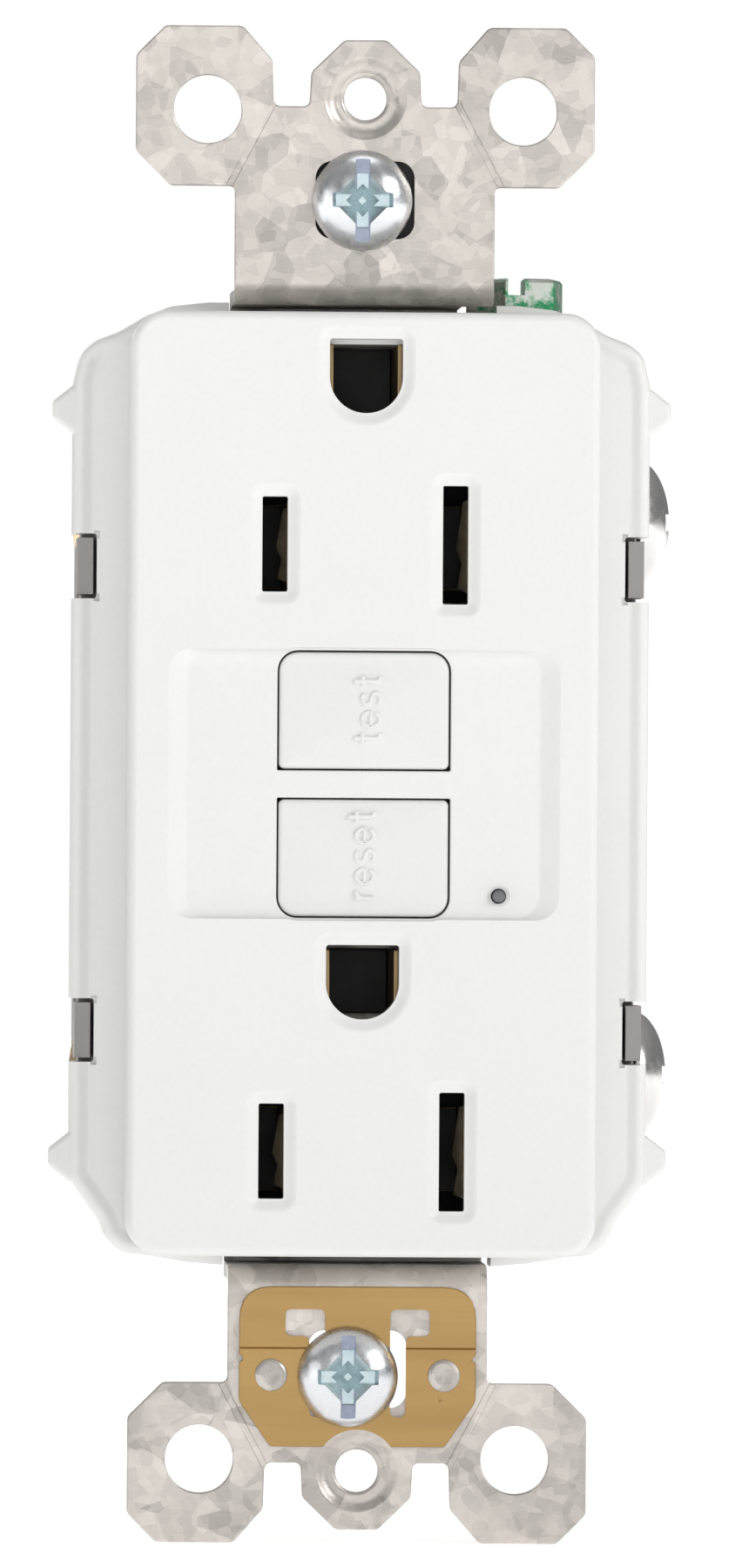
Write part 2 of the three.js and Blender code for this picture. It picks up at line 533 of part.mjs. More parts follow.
// A rail joins the two jaws of one polarity, and its drop carries the fixed contact that the arm meets.
function faceContacts() {
  const jaws = OUTLETS.flatMap(({ bladeZ }) => {
    const z = [bladeZ - RAIL.jawHalf, bladeZ + RAIL.jawHalf];
    const leaf = (from, to) => box([BLADE.x + from, BLADE.x + to], [RAIL.jawFront, RAIL.y[1]], z);
    const [near, far] = RAIL.jawSpan;
    return [leaf(-far, -near), leaf(near, far), box([BLADE.x - far, RAIL.x[1]], RAIL.y, z)];
  });
  const rail = box(RAIL.x, RAIL.y, [OUTLETS[1].bladeZ - RAIL.jawHalf, OUTLETS[0].bladeZ + RAIL.jawHalf]);
  const drop = box(DROP.x, [RAIL.y[0], DROP.footY[1]], DROP.z);
  const foot = box([DROP.footX, DROP.x[1]], DROP.footY, DROP.z);
  const middleZ = (DROP.z[0] + DROP.z[1]) / 2;
  const tip = rod(FIXED_TIP, DROP.footY[1] - 0.2, DROP.tip, [ARM.middleX, middleZ], 'y', 12);
  return joined(rail, jaws, drop, foot, tip);
}

function contactArm() {
  return cut(box(ARM.x, ARM.y, ARM.z), rod(ARM.pivotHole, ARM.y[0] - 1, ARM.y[1] + 1,
    [ARM.middleX, ARM.pivotZ], 'y', 10));
}

function terminalPlate(z) {
  const { y, halfZ, tabX, tabFront, tabHalfZ } = TERMINAL_PLATE;
  const sheet = box(TERMINAL.plateX, y, [z - halfZ, z + halfZ]);
  const tab = box([tabX, TERMINAL.plateX[1]], [tabFront, y[1]], [z - tabHalfZ, z + tabHalfZ]);
  return cut(joined(sheet, tab), rod(TERMINAL_SCREW.shank + 0.15, 10, 20, [TERMINAL.y, z], 'x', 14));
}

function clampPlate(backedOut, z) {
  const x = TERMINAL.clampX.map((value) => value + backedOut);
  const { halfY, halfZ } = CLAMP_PLATE;
  const sheet = box(x, [TERMINAL.y - halfY, TERMINAL.y + halfY], [z - halfZ, z + halfZ]);
  return cut(sheet, rod(TERMINAL_SCREW.shank + 0.25, 10, 24, [TERMINAL.y, z], 'x', 14));
}

// The supply bars run from the upper terminals through the sensor's eye to the contact arms.
function lineBar() {
  const { x, thick, low, high, sheet, halfZ, lead, arm } = LINE_BAR;
  const z = [SENSOR.z - halfZ, SENSOR.z + halfZ];
  return joined(
    box(lead.x, [lead.front, low + sheet], [lead.z, z[1]]),
    box([x, lead.x[1]], [low, low + sheet], z),
    box([x, x + thick], [high, low + sheet], z),
    box([x, arm[1]], [high, high + sheet], z),
    box(arm, [high, high + sheet], [ARM.z[1] - 0.5, z[1]]),
  );
}

// ---------------------------------------------------------------- trip mechanism
function latchPlate() {
  const { y, z, halfX, travel, tabHalfX, tabEnd, eye } = LATCH;
  const sheet = box([-halfX, halfX], y, z);
  const tab = box([-tabHalfX, tabHalfX], [y[0], tabEnd], [z[1] - (y[1] - y[0]), z[1]]);
  const shape = roundedRect(-eye, eye, -SHAFT_Z - eye, -SHAFT_Z + travel + eye, eye - 0.01);
  return cut(joined(sheet, tab), slab(shape, y[0] - 1, y[1] + 1));
}

function latchBlock() {
  const { halfX, y, z } = BLOCK;
  const core = box([-halfX, halfX], y, z);
  const wings = box([-BLOCK_WING.halfX, BLOCK_WING.halfX], BLOCK_WING.y, BLOCK_WING.z);
  const arm = box([-BLOCK_ARM.halfX, BLOCK_ARM.halfX], BLOCK_ARM.y, [BLOCK_ARM.z[0], z[0] + 1]);
  const seat = box([-BLOCK_ARM.halfX, BLOCK_ARM.halfX], [BLOCK_ARM.top, BLOCK_ARM.y[1]], BLOCK_ARM.z);
  const { clear } = LATCH;
  const guide = box([-LATCH.halfX - clear, LATCH.halfX + clear],
    [LATCH.y[0] - clear, LATCH.y[1] + clear], [z[0] - 2.2, z[1] + 4.2]);
  return cut(joined(core, wings, arm, seat), guide, rod(PIN_HOLE, 10, 22, [0, -SHAFT_Z], 'y', 12));
}

function coilFrame() {
  const { y, frameHalfX, frameY, z, sheet, baseSheet, plungerHole } = COIL;
  const ends = [box([-frameHalfX, frameHalfX], frameY, [z[0], z[0] + sheet]),
    box([-frameHalfX, frameHalfX], frameY, [z[1] - sheet, z[1]])];
  const base = box([-frameHalfX, frameHalfX], [frameY[1] - baseSheet, frameY[1]], z);
  return cut(joined(ends, base), rod(plungerHole, z[0] - 1, z[0] + sheet + 1, [0, y], 'z', 14));
}

function coilBobbin() {
  const { bore, tube, cheek, cheekThick, clear } = BOBBIN;
  const [z0, z1] = [COIL.z[0] + COIL.sheet + clear, COIL.z[1] - COIL.sheet - clear];
  return turned([[bore, z0], [cheek, z0], [cheek, z0 + cheekThick], [tube, z0 + cheekThick],
    [tube, z1 - cheekThick], [cheek, z1 - cheekThick], [cheek, z1], [bore, z1], [bore, z0]],
  [0, COIL.y], 'z');
}

function coilWinding() {
  const { inner, outer, clear } = WINDING;
  const [z0, z1] = [COIL.z[0] + COIL.sheet + clear, COIL.z[1] - COIL.sheet - clear];
  return turned([[inner, z0], [outer, z0], [outer, z1], [inner, z1], [inner, z0]], [0, COIL.y], 'z');
}

function plunger() {
  const { tip, radius, z, taper } = PLUNGER;
  return turned([[0, z[0]], [tip, z[0]], [radius, z[0] + taper], [radius, z[1]], [0, z[1]]],
    [0, COIL.y], 'z', 14);
}

// ---------------------------------------------------------------- sensing and electronics
function sensorCase() {
  const { outer, inner, y, wall, z } = SENSOR;
  return turned([[inner, y[0]], [outer, y[0]], [outer, y[1]], [outer - wall, y[1]],
    [outer - wall, y[0] + wall],
    [inner + wall, y[0] + wall], [inner + wall, y[1]], [inner, y[1]], [inner, y[0]]], [0, z], 'y', 20);
}

function sensorCore(from, to) {
  const { outer, inner, wall, z } = SENSOR;
  const [r0, r1] = [inner + wall + CORES.clear, outer - wall - CORES.clear];
  return turned([[r0, from], [r1, from], [r1, to], [r0, to], [r0, from]], [0, z], 'y', 20);
}

function separator() {
  const { front, back, halfX, halfZ, radius } = SEPARATOR;
  const sheet = slab(roundedRect(-halfX, halfX, -halfZ, halfZ, radius), front, back);
  const posts = [-1, 1].flatMap((side) => POSTS.z.map((z) => sideBox(side, POSTS.x,
    [RAIL.y[1] + 0.1, front + 0.5], [z - POSTS.half, z + POSTS.half])));
  const drops = [-1, 1].map((side) => sideBox(side, [DROP.x[0] - GAP, DROP.x[1] + GAP],
    [front - 1, back + 1],
    [DROP.z[0] - GAP, DROP.z[1] + GAP]));
  const bays = [-1, 1].flatMap((side) => TERMINALS.map(({ z }) => sideBox(side, [13.4, halfX + 1],
    [front - 1, back + 1], [z - BAY.halfZ - 0.3, z + BAY.halfZ + 0.3])));
  const pinHole = rod(PIN_HOLE, front - 1, back + 1, [0, -SHAFT_Z], 'y', 12);
  const lampHole = rod(1.8, front - 1, back + 1, [PIPE.x - 0.1, PIPE.z], 'y', 12);
  return cut(joined(sheet, posts), drops, bays, pinHole, lampHole);
}

function circuitBoard() {
  const { front, back, halfX, halfZ } = BOARD;
  const sheet = box([-halfX, halfX], [front, back], [-halfZ, halfZ]);
  return cut(sheet, rod(1.5, front - 1, back + 1, [0, -SHAFT_Z], 'y', 12));
}

function lightPipe() {
  const { x, z, tipRadius, bodyRadius } = PIPE;
  return turned([[0, FACE.front + 0.1], [tipRadius, FACE.front + 0.1],
    [tipRadius, FACE.front + FACE.wall + 0.2],
    [bodyRadius, FACE.front + FACE.wall + 0.5], [bodyRadius, 9.5], [0, 9.5]], [x, z], 'y', 12);
}

function lamp() {
  const { front, radius, crown, crownY, shoulderY } = LAMP;
  const back = BOARD.front - 0.1;
  return turned([[0, front], [crown, crownY], [radius, shoulderY], [radius, back], [0, back]],
    [PIPE.x, PIPE.z], 'y', 12);
}

// ---------------------------------------------------------------- back body
function hook(side, [z0, z1]) {
  return sideBox(side, [WINDOW.inner + 0.25, BODY.halfX + 0.25], [FLANGE.front + 0.5, BODY.front + 0.8],
    [z0 + WINDOW.hookGap, z1 - WINDOW.hookGap]);
}

function terminalBay(side, z) {
  const bay = sideBox(side, [BAY.wallX[1], BODY.halfX + 1], BAY.y, [z - BAY.halfZ, z + BAY.halfZ]);
  const tabSlot = sideBox(side, [12, BAY.wallX[1] + 1], [17.1, 18.5], [z - 2.3, z + 2.3]);
  const tipHole = sideRod(side, TERMINAL_SCREW.shank + 0.3, [12, BAY.wallX[1] + 1], z);
  const wires = [-1, 1].map((end) => rod(BAY.wireRadius, BAY.y[1] - 1, BODY.back + 1,
    [side * BAY.wireX, z + end * BAY.wireZ], 'y', 12));
  return [bay, tabSlot, tipHole, ...wires];
}

function sideRod(side, radius, x, z) {
  const [from, to] = side > 0 ? x : [-x[1], -x[0]];
  return rod(radius, from, to, [TERMINAL.y, z], 'x', 14);
}

function backBody() {
  const { front, back, halfX, halfZ, wall, floor, radius } = BODY;
  const block = slab(roundedRect(-halfX, halfX, -halfZ, halfZ, radius), front, back, 0.4);
  const inside = [front - 1, back - floor];
  const hollow = joined(box([-BAY.wallX[0], BAY.wallX[0]], inside, [-halfZ + wall, halfZ - wall]),
    box([-halfX + wall, halfX - wall], inside, [-13.5, 12.0]),
    slab(roundedRect(-halfX + wall, halfX - wall, -halfZ + wall, halfZ - wall, radius - wall), front - 1,
      SEPARATOR.back + 0.2));
  const hooks = [-1, 1].flatMap((side) => WINDOW.spans.map((span) => hook(side, span)));
  const rims = [-1, 1].map((end) => sideEnd(end, STRAP.neckHalfX + GAP, [front - 1, STRAP.webBack + GAP],
    [halfZ - wall - 1, halfZ + 1]));
  const tabBay = box(GROUND_TAB.bay, [front - 1, STRAP.webBack + GAP],
    [halfZ - wall - 1, halfZ + 1]);
  const bays = [-1, 1].flatMap((side) => TERMINALS.flatMap(({ z }) => terminalBay(side, z)));
  return cut(joined(cut(block, hollow), hooks), rims, tabBay, bays);
}

// ---------------------------------------------------------------- placing every piece
add('front_cover', 'ivory', frontCover());
add('back_body', 'grey', backBody());
add('middle_separator', 'dark', separator());
add('mounting_strap', 'zinc', mountingStrap());
add('self_ground_clip', 'brass', groundClip());
add('clip_rivet_left', 'zinc', clipRivet(-1));
add('clip_rivet_right', 'zinc', clipRivet(1));
add('ground_screw', 'green', groundScrew());
for (const one of BOX_SCREWS) add(`${one.name}_mounting_screw`, 'steel', boxScrew(one));
add('upper_screw_retainer', 'dark', retainer(BOX_SCREWS[0]));
for (const one of OUTLETS) add(`${one.name}_ground_contact`, 'brass', groundContact(one.groundZ));
for (const { name, side, backedOut, metal } of SIDES) {
  add(`${name}_face_contacts`, 'brass', onSide(side, faceContacts()));
  add(`${name}_contact_arm`, 'copper', onSide(side, contactArm()));
  add(`${name}_line_bar`, 'brass', onSide(side, lineBar()));
  for (const end of TERMINALS) {
    add(`${end.name}_${name}_terminal_plate`, 'brass', onSide(side, terminalPlate(end.z)));
    add(`${end.name}_${name}_clamp_plate`, metal, onSide(side, clampPlate(backedOut, end.z)));
    add(`${end.name}_${name}_screw`, metal, onSide(side, terminalScrew(backedOut, end.z)));
  }
}
add('test_button', 'ivory', button(1));
add('test_spring', 'steel', coil({ ...BUTTON_SPRING, from: 3.05, at: [0, SHAFT_Z] }));
add('test_contact', 'copper', testLeaf());
add('reset_button', 'ivory', button(-1));
add('reset_pin', 'steel', resetPin());
add('reset_spring', 'steel', coil({ ...BUTTON_SPRING, from: 3.95, at: [0, -SHAFT_Z] }));
add('latch_plate', 'zinc', latchPlate());
add('latch_block', 'dark', latchBlock());
add('latch_spring', 'steel', coil({ radius: 0.9, wire: 0.18, from: -13.4, to: -9.85, turns: 4,
  at: [0, 15.7], axis: 'z' }));
add('solenoid_frame', 'zinc', coilFrame());
add('solenoid_bobbin', 'ivory', coilBobbin());
add('solenoid_winding', 'copper', coilWinding());
add('solenoid_plunger', 'steel', plunger());
add('sensor_case', 'dark', sensorCase());
add('fault_sensor_core', 'grey', sensorCore(...CORES.fault));
add('neutral_sensor_core', 'grey', sensorCore(...CORES.neutral));
add('circuit_board', 'board', circuitBoard());
add('control_chip', 'dark', box(CHIP.x, [BOARD.back + 0.1, CHIP.back], CHIP.z));
add('thyristor', 'dark', box(THYRISTOR.x, [BOARD.back + 0.1, THYRISTOR.back], THYRISTOR.z));
add('surge_absorber', 'blue', rod(ABSORBER.radius, ...ABSORBER.x, ABSORBER.at, 'x', 18));
add('filter_capacitor', 'blue', rod(CAPACITOR.radius, ...CAPACITOR.z, CAPACITOR.at, 'z', 16));
add('light_pipe', 'clear', lightPipe());
add('indicator_lamp', 'clear', lamp());

export default outlet;
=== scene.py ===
"""A ground-fault receptacle with its strap, buttons and screws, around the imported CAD."""

import math

import bmesh
import bpy
from mathutils import Matrix, Vector


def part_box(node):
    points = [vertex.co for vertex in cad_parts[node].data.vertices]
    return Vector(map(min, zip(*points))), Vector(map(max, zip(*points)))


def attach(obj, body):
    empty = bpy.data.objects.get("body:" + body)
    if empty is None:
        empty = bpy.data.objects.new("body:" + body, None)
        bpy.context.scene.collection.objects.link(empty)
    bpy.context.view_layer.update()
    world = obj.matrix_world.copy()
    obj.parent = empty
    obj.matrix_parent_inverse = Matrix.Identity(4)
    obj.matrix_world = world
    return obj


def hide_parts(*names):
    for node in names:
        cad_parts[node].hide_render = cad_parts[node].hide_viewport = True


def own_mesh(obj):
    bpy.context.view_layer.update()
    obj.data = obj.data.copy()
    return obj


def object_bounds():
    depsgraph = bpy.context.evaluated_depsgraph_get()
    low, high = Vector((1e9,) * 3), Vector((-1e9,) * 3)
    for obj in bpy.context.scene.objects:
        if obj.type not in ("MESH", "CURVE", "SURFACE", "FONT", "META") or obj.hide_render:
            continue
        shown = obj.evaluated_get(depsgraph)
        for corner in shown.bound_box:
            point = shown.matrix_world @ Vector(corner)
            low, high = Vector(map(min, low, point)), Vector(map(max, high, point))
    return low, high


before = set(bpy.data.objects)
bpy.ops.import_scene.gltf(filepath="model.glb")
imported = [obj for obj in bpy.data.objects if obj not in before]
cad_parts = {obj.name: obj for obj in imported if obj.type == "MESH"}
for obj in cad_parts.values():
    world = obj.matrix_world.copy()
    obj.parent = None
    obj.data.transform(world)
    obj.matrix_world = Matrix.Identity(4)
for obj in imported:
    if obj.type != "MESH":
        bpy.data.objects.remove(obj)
cad_low, cad_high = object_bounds()

MM = 0.001  # bodies are shaped in millimetres, and scaled to metres when they become pieces
CORNER = 7  # steps round a rounded corner
FINE = 64  # steps round a hole or a screw head
COARSE = 32  # the same for small holes and shanks
TINY = 1e-6  # a ring on the axis keeps its points apart by this much


# ---- outlines in X and Z
def rrect(cx, cz, hx, hz, radii, steps=CORNER):
    """A rounded rectangle, counter-clockwise from the right end of its foot.
    Radii: foot right, head right, head left, foot left."""
    radii = [radii] * 4 if isinstance(radii, (int, float)) else radii
    corners = [(1, -1, -90), (1, 1, 0), (-1, 1, 90), (-1, -1, 180)]
    points = []
    for (sx, sz, start), r in zip(corners, radii):
        for i in range(steps + 1):
            a = math.radians(start + 90 * i / steps)
            points.append((cx + sx * (hx - r) + r * math.cos(a), cz + sz * (hz - r) + r * math.sin(a)))
    return points


def circle(cx, cz, r, steps=FINE):
    return [(cx + r * math.cos(2 * math.pi * i / steps), cz + r * math.sin(2 * math.pi * i / steps))
            for i in range(steps)]


def rounded(points, radius, steps=5):
    """A closed polygon with its corners rounded. A point may bring its own radius as a third number."""
    out = []
    count = len(points)
    for i, point in enumerate(points):
        here = Vector(point[:2])
        to_last = Vector(points[i - 1][:2]) - here
        to_next = Vector(points[(i + 1) % count][:2]) - here
        r = point[2] if len(point) > 2 else radius
        half = to_last.angle(to_next) / 2
        reach = min(r / math.tan(half), 0.49 * to_last.length, 0.49 * to_next.length)
        if reach < 1e-6 or half > 1.55:
            out.append(tuple(here))
            continue
        a, b = here + to_last.normalized() * reach, here + to_next.normalized() * reach
        for k in range(steps + 1):
            t = k / steps
            out.append(tuple(a * (1 - t) ** 2 + here * 2 * t * (1 - t) + b * t * t))
    return out


def turned_ccw(points):
    area = sum(a[0] * b[1] - b[0] * a[1] for a, b in zip(points, points[1:] + points[:1]))
    return points if area > 0 else points[::-1]


def crossing(a, along_a, b, along_b):
    """Where the line from a along along_a meets the line from b along along_b."""
    turn = along_a.x * along_b.y - along_a.y * along_b.x
    if abs(turn) < 1e-9:
        return (a + b) / 2
    gap = b - a
    return a + along_a * ((gap.x * along_b.y - gap.y * along_b.x) / turn)


def grown(points, by):
    """The outline moved outwards by so much, or inwards. Corners that fold over close to a point."""
    count = len(points)
    old = [Vector(p) for p in points]
    out = []
    for i, here in enumerate(old):
        before, after = here - old[i - 1], old[(i + 1) % count] - here
        if before.length < 1e-7:
            before = after
        if after.length < 1e-7:
            after = before
        n = Vector((before.y, -before.x)).normalized() + Vector((after.y, -after.x)).normalized()
        out.append(here + n / max(n.dot(n) / 2, 0.3) * by)
    for _ in range(4):
        folded = [(out[(i + 1) % count] - out[i]).dot(old[(i + 1) % count] - old[i]) < -1e-12
                  for i in range(count)]
        if not any(folded) or all(folded):
            break
        for i in range(count):
            if folded[i] and not folded[i - 1]:
                j = i
                while folded[(j + 1) % count]:
                    j += 1
                last, following = old[i] - old[i - 1], old[(j + 2) % count] - old[(j + 1) % count]
                meet = crossing(out[i - 1], last, out[(j + 2) % count], following)
                for k in range(i, j + 2):
                    out[k % count] = meet
    return [tuple(p) for p in out]


def mirrored(right):
    """A symmetric outline from its right half, given from top to bottom."""
    return [(-p[0], *p[1:]) for p in right] + [tuple(p) for p in right[::-1]]


# ---- meshes
def linked(name, data):
    obj = bpy.data.objects.new(name, data)
    bpy.context.scene.collection.objects.link(obj)
    return obj


def made(name, bm):
    bmesh.ops.remove_doubles(bm, verts=bm.verts, dist=1e-5)
    bmesh.ops.recalc_face_normals(bm, faces=bm.faces)
    mesh = bpy.data.meshes.new(name)
    bm.to_mesh(mesh)
    bm.free()
    return linked(name, mesh)


def loft(name, rings, index=0):
    """A closed body through rings of (x, y, z) points with the same count, in finish number index."""
    bm = bmesh.new()
    layers = [[bm.verts.new(point) for point in ring] for ring in rings]
    count = len(rings[0])
    for a, b in zip(layers, layers[1:]):
        for i in range(count):
            j = (i + 1) % count
            bm.faces.new((a[i], a[j], b[j], b[i]))
    bm.faces.new(layers[0][::-1])
    bm.faces.new(layers[-1])
    for face in bm.faces:
        face.material_index = index
    return made(name, bm)


def at_y(outline, y):
    return [(x, y, z) for x, z in outline]


def rounded_stations(front, back, front_edge, back_edge, steps=4):
    """(growth, y) pairs down the side of a plate whose two edges are rounded."""
    pairs = []
    for i in range(steps + 1):
        a = math.pi / 2 * i / steps
        pairs.append((-front_edge * (1 - math.sin(a)), front + front_edge * (1 - math.cos(a))))
    for i in range(steps + 1):
        a = math.pi / 2 * i / steps
        pairs.append((-back_edge * (1 - math.cos(a)), back - back_edge * (1 - math.sin(a))))
    return pairs


def plate(name, outline, front, back, front_edge, back_edge):
    outline = turned_ccw(outline)
    stations = rounded_stations(front, back, front_edge, back_edge)
    return loft(name, [at_y(grown(outline, g), y) for g, y in stations])


def prism(outline, front, back, index=0):
    return loft("tool", [at_y(turned_ccw(outline), front), at_y(turned_ccw(outline), back)], index)


def block(x, y, z):
    outline = [(x[0], z[0]), (x[1], z[0]), (x[1], z[1]), (x[0], z[1])]
    return prism(outline, *y)


def axis_point(axis, at, r, angle, s):
    u, v = r * math.cos(angle), r * math.sin(angle)
    u, v = at[0] + u, at[1] + v
    return {"x": (s, u, v), "y": (u, s, v), "z": (u, v, s)}[axis]


def turned(name, profile, at, axis="y", steps=FINE):
    """A turned body. The profile is (radius, station) from one end on the axis to the other."""
    turn = [2 * math.pi * k / steps for k in range(steps)]
    return loft(name, [[axis_point(axis, at, max(r, TINY), a, s) for a in turn] for r, s in profile])


RINGS_PER_PITCH = 8
RUN_OUT = 0.7  # plain length between the thread and the tip
TIP_SHARE = 0.66  # radius of the tip against that of the thread
THREAD_PITCH = 0.794  # 32 turns to the inch


def thread_stations(depth, start, end):
    """(station, depth) rows for a helical thread that runs out at both ends."""
    count = int(abs(end - start) / THREAD_PITCH * RINGS_PER_PITCH)
    rows = []
    for i in range(count + 1):
        t = i / count
        ease = min(1, (1 - t) * count / RINGS_PER_PITCH, t * count / RINGS_PER_PITCH)
        rows.append((start + (end - start) * t, depth * ease))
    return rows


def screw_body(name, head, shank, tip, thread, at, axis, steps=FINE):
    """A screw: turned head profile, threaded shank, and a chamfered tip, as one closed body."""
    radius, depth = thread
    turn = [2 * math.pi * k / steps for k in range(steps)]
    rings = [[axis_point(axis, at, max(r, TINY), a, s) for a in turn] for r, s in head]
    way = 1 if tip > shank else -1
    for s, deep in thread_stations(depth, shank, tip - way * RUN_OUT):
        ring = []
        for a in turn:
            phase = (way * s / THREAD_PITCH - a / (2 * math.pi)) % 1
            ring.append(axis_point(axis, at, radius - deep * (1 - abs(2 * phase - 1) ** 1.4), a, s))
        rings.append(ring)
    rings.append([axis_point(axis, at, radius * TIP_SHARE, a, tip) for a in turn])
    rings.append([axis_point(axis, at, TINY, a, tip) for a in turn])
    return loft(name, rings)


DOME_STEPS = 14
DOME_END = 12  # degrees above the seat at which the dome meets the rim


def dome(radius, high, seat, way, rim=0.35):
    """Profile of a truss head from its apex to its seat; way is where the head points along the axis."""
    points = []
    crown = high - rim
    low = math.sin(math.radians(DOME_END))
    wide = math.cos(math.radians(DOME_END))
    for i in range(DOME_STEPS + 1):
        a = math.radians(90 - (90 - DOME_END) * i / DOME_STEPS)
        points.append((radius * 0.985 * math.cos(a) / wide,
                       seat + way * (rim + crown * (math.sin(a) - low) / (1 - low))))
    points[0] = (0, points[0][1])
    points += [(radius, seat + way * rim * 0.7), (radius, seat + way * rim * 0.3), (radius - 0.1, seat)]
    return points


def joined(objs):
    """Several bodies in one mesh, which stay separate shells."""
    first = objs[0]
    bm = bmesh.new()
    for obj in objs:
        bm.from_mesh(obj.data)
    bm.to_mesh(first.data)
    bm.free()
    for obj in objs[1:]:
        bpy.data.objects.remove(obj)
    return first


def final_mesh(obj):
    graph = bpy.context.evaluated_depsgraph_get()
    graph.update()
    return bpy.data.meshes.new_from_object(obj.evaluated_get(graph), depsgraph=graph)


def settled(obj):
    """Applies the modifiers of obj."""
    mesh = final_mesh(obj)
    obj.modifiers.clear()
    obj.data = mesh
    return obj


FINISH_SLOTS = 3  # a boolean keeps a face's finish number only where both bodies have that slot
FLAT_ANGLE = math.radians(0.8)  # neighbouring faces within this angle count as one flat


def combine(target, operation, tools):
    """Adds or subtracts several tools at once, which have to stay clear of each other."""
    tool = joined(tools)
    for obj in (target, tool):
        while len(obj.data.materials) < FINISH_SLOTS:
            obj.data.materials.append(None)
    modifier = target.modifiers.new("shape", "BOOLEAN")
    modifier.operation = operation
    modifier.solver = "EXACT"
    modifier.object = tool
    settled(target)
    bpy.data.objects.remove(tool)
    return target


def cut(target, *tools):
    for tool in tools:
        combine(target, "DIFFERENCE", [tool])
    return target


def added(target, *tools):
    for tool in tools:
        combine(target, "UNION", [tool])
    return target


def copied(node, name):
    """A new body with the shape of a CAD node, its flat faces whole again."""
    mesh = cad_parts[node].data.copy()
    mesh.transform(Matrix.Scale(1 / MM, 4))
    obj = linked(name, mesh)
    mesh.materials.clear()
    bm = bmesh.new()
    bm.from_mesh(mesh)
    bmesh.ops.remove_doubles(bm, verts=bm.verts, dist=1e-4)
    bmesh.ops.dissolve_limit(bm, angle_limit=FLAT_ANGLE, verts=bm.verts, edges=bm.edges)
    bm.to_mesh(mesh)
    bm.free()
    return obj


def edge_bevel(obj, width, segments, angle):
    modifier = obj.modifiers.new("edges", "BEVEL")
    modifier.width = width
    modifier.segments = segments
    modifier.limit_method = "ANGLE"
    modifier.angle_limit = math.radians(angle)
    modifier.harden_normals = False
    modifier.use_clamp_overlap = True


def bevelled(obj, width, segments=2):
    edge_bevel(obj, width, segments, 40)
    return settled(obj)


def smooth(obj, angle):
    obj.data.polygons.foreach_set("use_smooth", [True] * len(obj.data.polygons))
    obj.data.set_sharp_from_angle(angle=math.radians(angle))
    modifier = obj.modifiers.new("normals", "WEIGHTED_NORMAL")
    modifier.keep_sharp = True
    modifier.weight = 80
    return obj


def piece(obj, name, body, finishes, nodes=(), angle=38):
    obj.name = obj.data.name = name
    obj.data.transform(Matrix.Scale(MM, 4))
    chosen = [min(face.material_index, len(finishes) - 1) for face in obj.data.polygons]
    obj.data.materials.clear()
    for finish in finishes:
        obj.data.materials.append(finish)
    obj.data.polygons.foreach_set("material_index", chosen)
    smooth(obj, angle)
    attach(obj, body)
    if nodes:
        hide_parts(*nodes)
    return obj


# ---- materials
def wire(tree, kind, values=None, **settings):
    """A new node with its settings, and its inputs set to values or linked to sockets."""
    node = tree.nodes.new(kind)
    for key, value in settings.items():
        setattr(node, key, value)
    for key, value in (values or {}).items():
        if isinstance(value, bpy.types.NodeSocket):
            tree.links.new(value, node.inputs[key])
        else:
            node.inputs[key].default_value = value
    return node


class Finish:
    """A small builder for one procedural material."""

    def __init__(self, name):
        self.material = bpy.data.materials.new(name)
        self.material.use_nodes = True
        self.tree = self.material.node_tree
        self.shader = self.tree.nodes["Principled BSDF"]
        self.place = self.node("ShaderNodeTexCoord").outputs["Object"]

    def node(self, kind, values=None, **settings):
        return wire(self.tree, kind, values, **settings)

    def scaled(self, x, y, z, turn=0):
        return self.node("ShaderNodeMapping", {"Vector": self.place, "Scale": (x, y, z),
                                               "Rotation": (0, turn, 0)}).outputs["Vector"]

    def noise(self, scale, detail=3, roughness=0.5, where=None):
        values = {"Vector": where or self.place, "Scale": scale, "Detail": detail, "Roughness": roughness}
        return self.node("ShaderNodeTexNoise", values).outputs["Fac"]

    def cells(self, scale, where):
        return self.node("ShaderNodeTexVoronoi", {"Vector": where, "Scale": scale}).outputs["Color"]

    def ramp(self, value, *stops):
        node = self.node("ShaderNodeValToRGB", {"Fac": value})
        ramp = node.color_ramp
        while len(ramp.elements) < len(stops):
            ramp.elements.new(0.5)
        for element, (position, colour) in zip(ramp.elements, stops):
            element.position = position
            colour = (colour,) * 3 if isinstance(colour, (int, float)) else colour
            element.color = (*colour, 1)
        return node.outputs["Color"]

    def spread(self, value, low, high, from_low=0.0, from_high=1.0):
        values = {"Value": value, "From Min": from_low, "From Max": from_high, "To Min": low, "To Max": high}
        return self.node("ShaderNodeMapRange", values).outputs["Result"]

    def mixed(self, factor, a, b, blend="MIX"):
        a, b = ((*colour, 1) if isinstance(colour, tuple) else colour for colour in (a, b))
        values = {0: factor, 6: a, 7: b}
        return self.node("ShaderNodeMix", values, data_type="RGBA", blend_type=blend).outputs[2]

    def bump(self, height, distance, under=None):
        values = {"Height": height, "Distance": distance * MM, "Strength": 1.0}
        if under is not None:
            values["Normal"] = under
        return self.node("ShaderNodeBump", values).outputs["Normal"]

    def set(self, **values):
        for key, value in values.items():
            socket = self.shader.inputs[key.replace("_", " ")]
            if isinstance(value, bpy.types.NodeSocket):
                self.tree.links.new(value, socket)
            else:
                socket.default_value = (*value, 1) if isinstance(value, tuple) else value
        return self.material


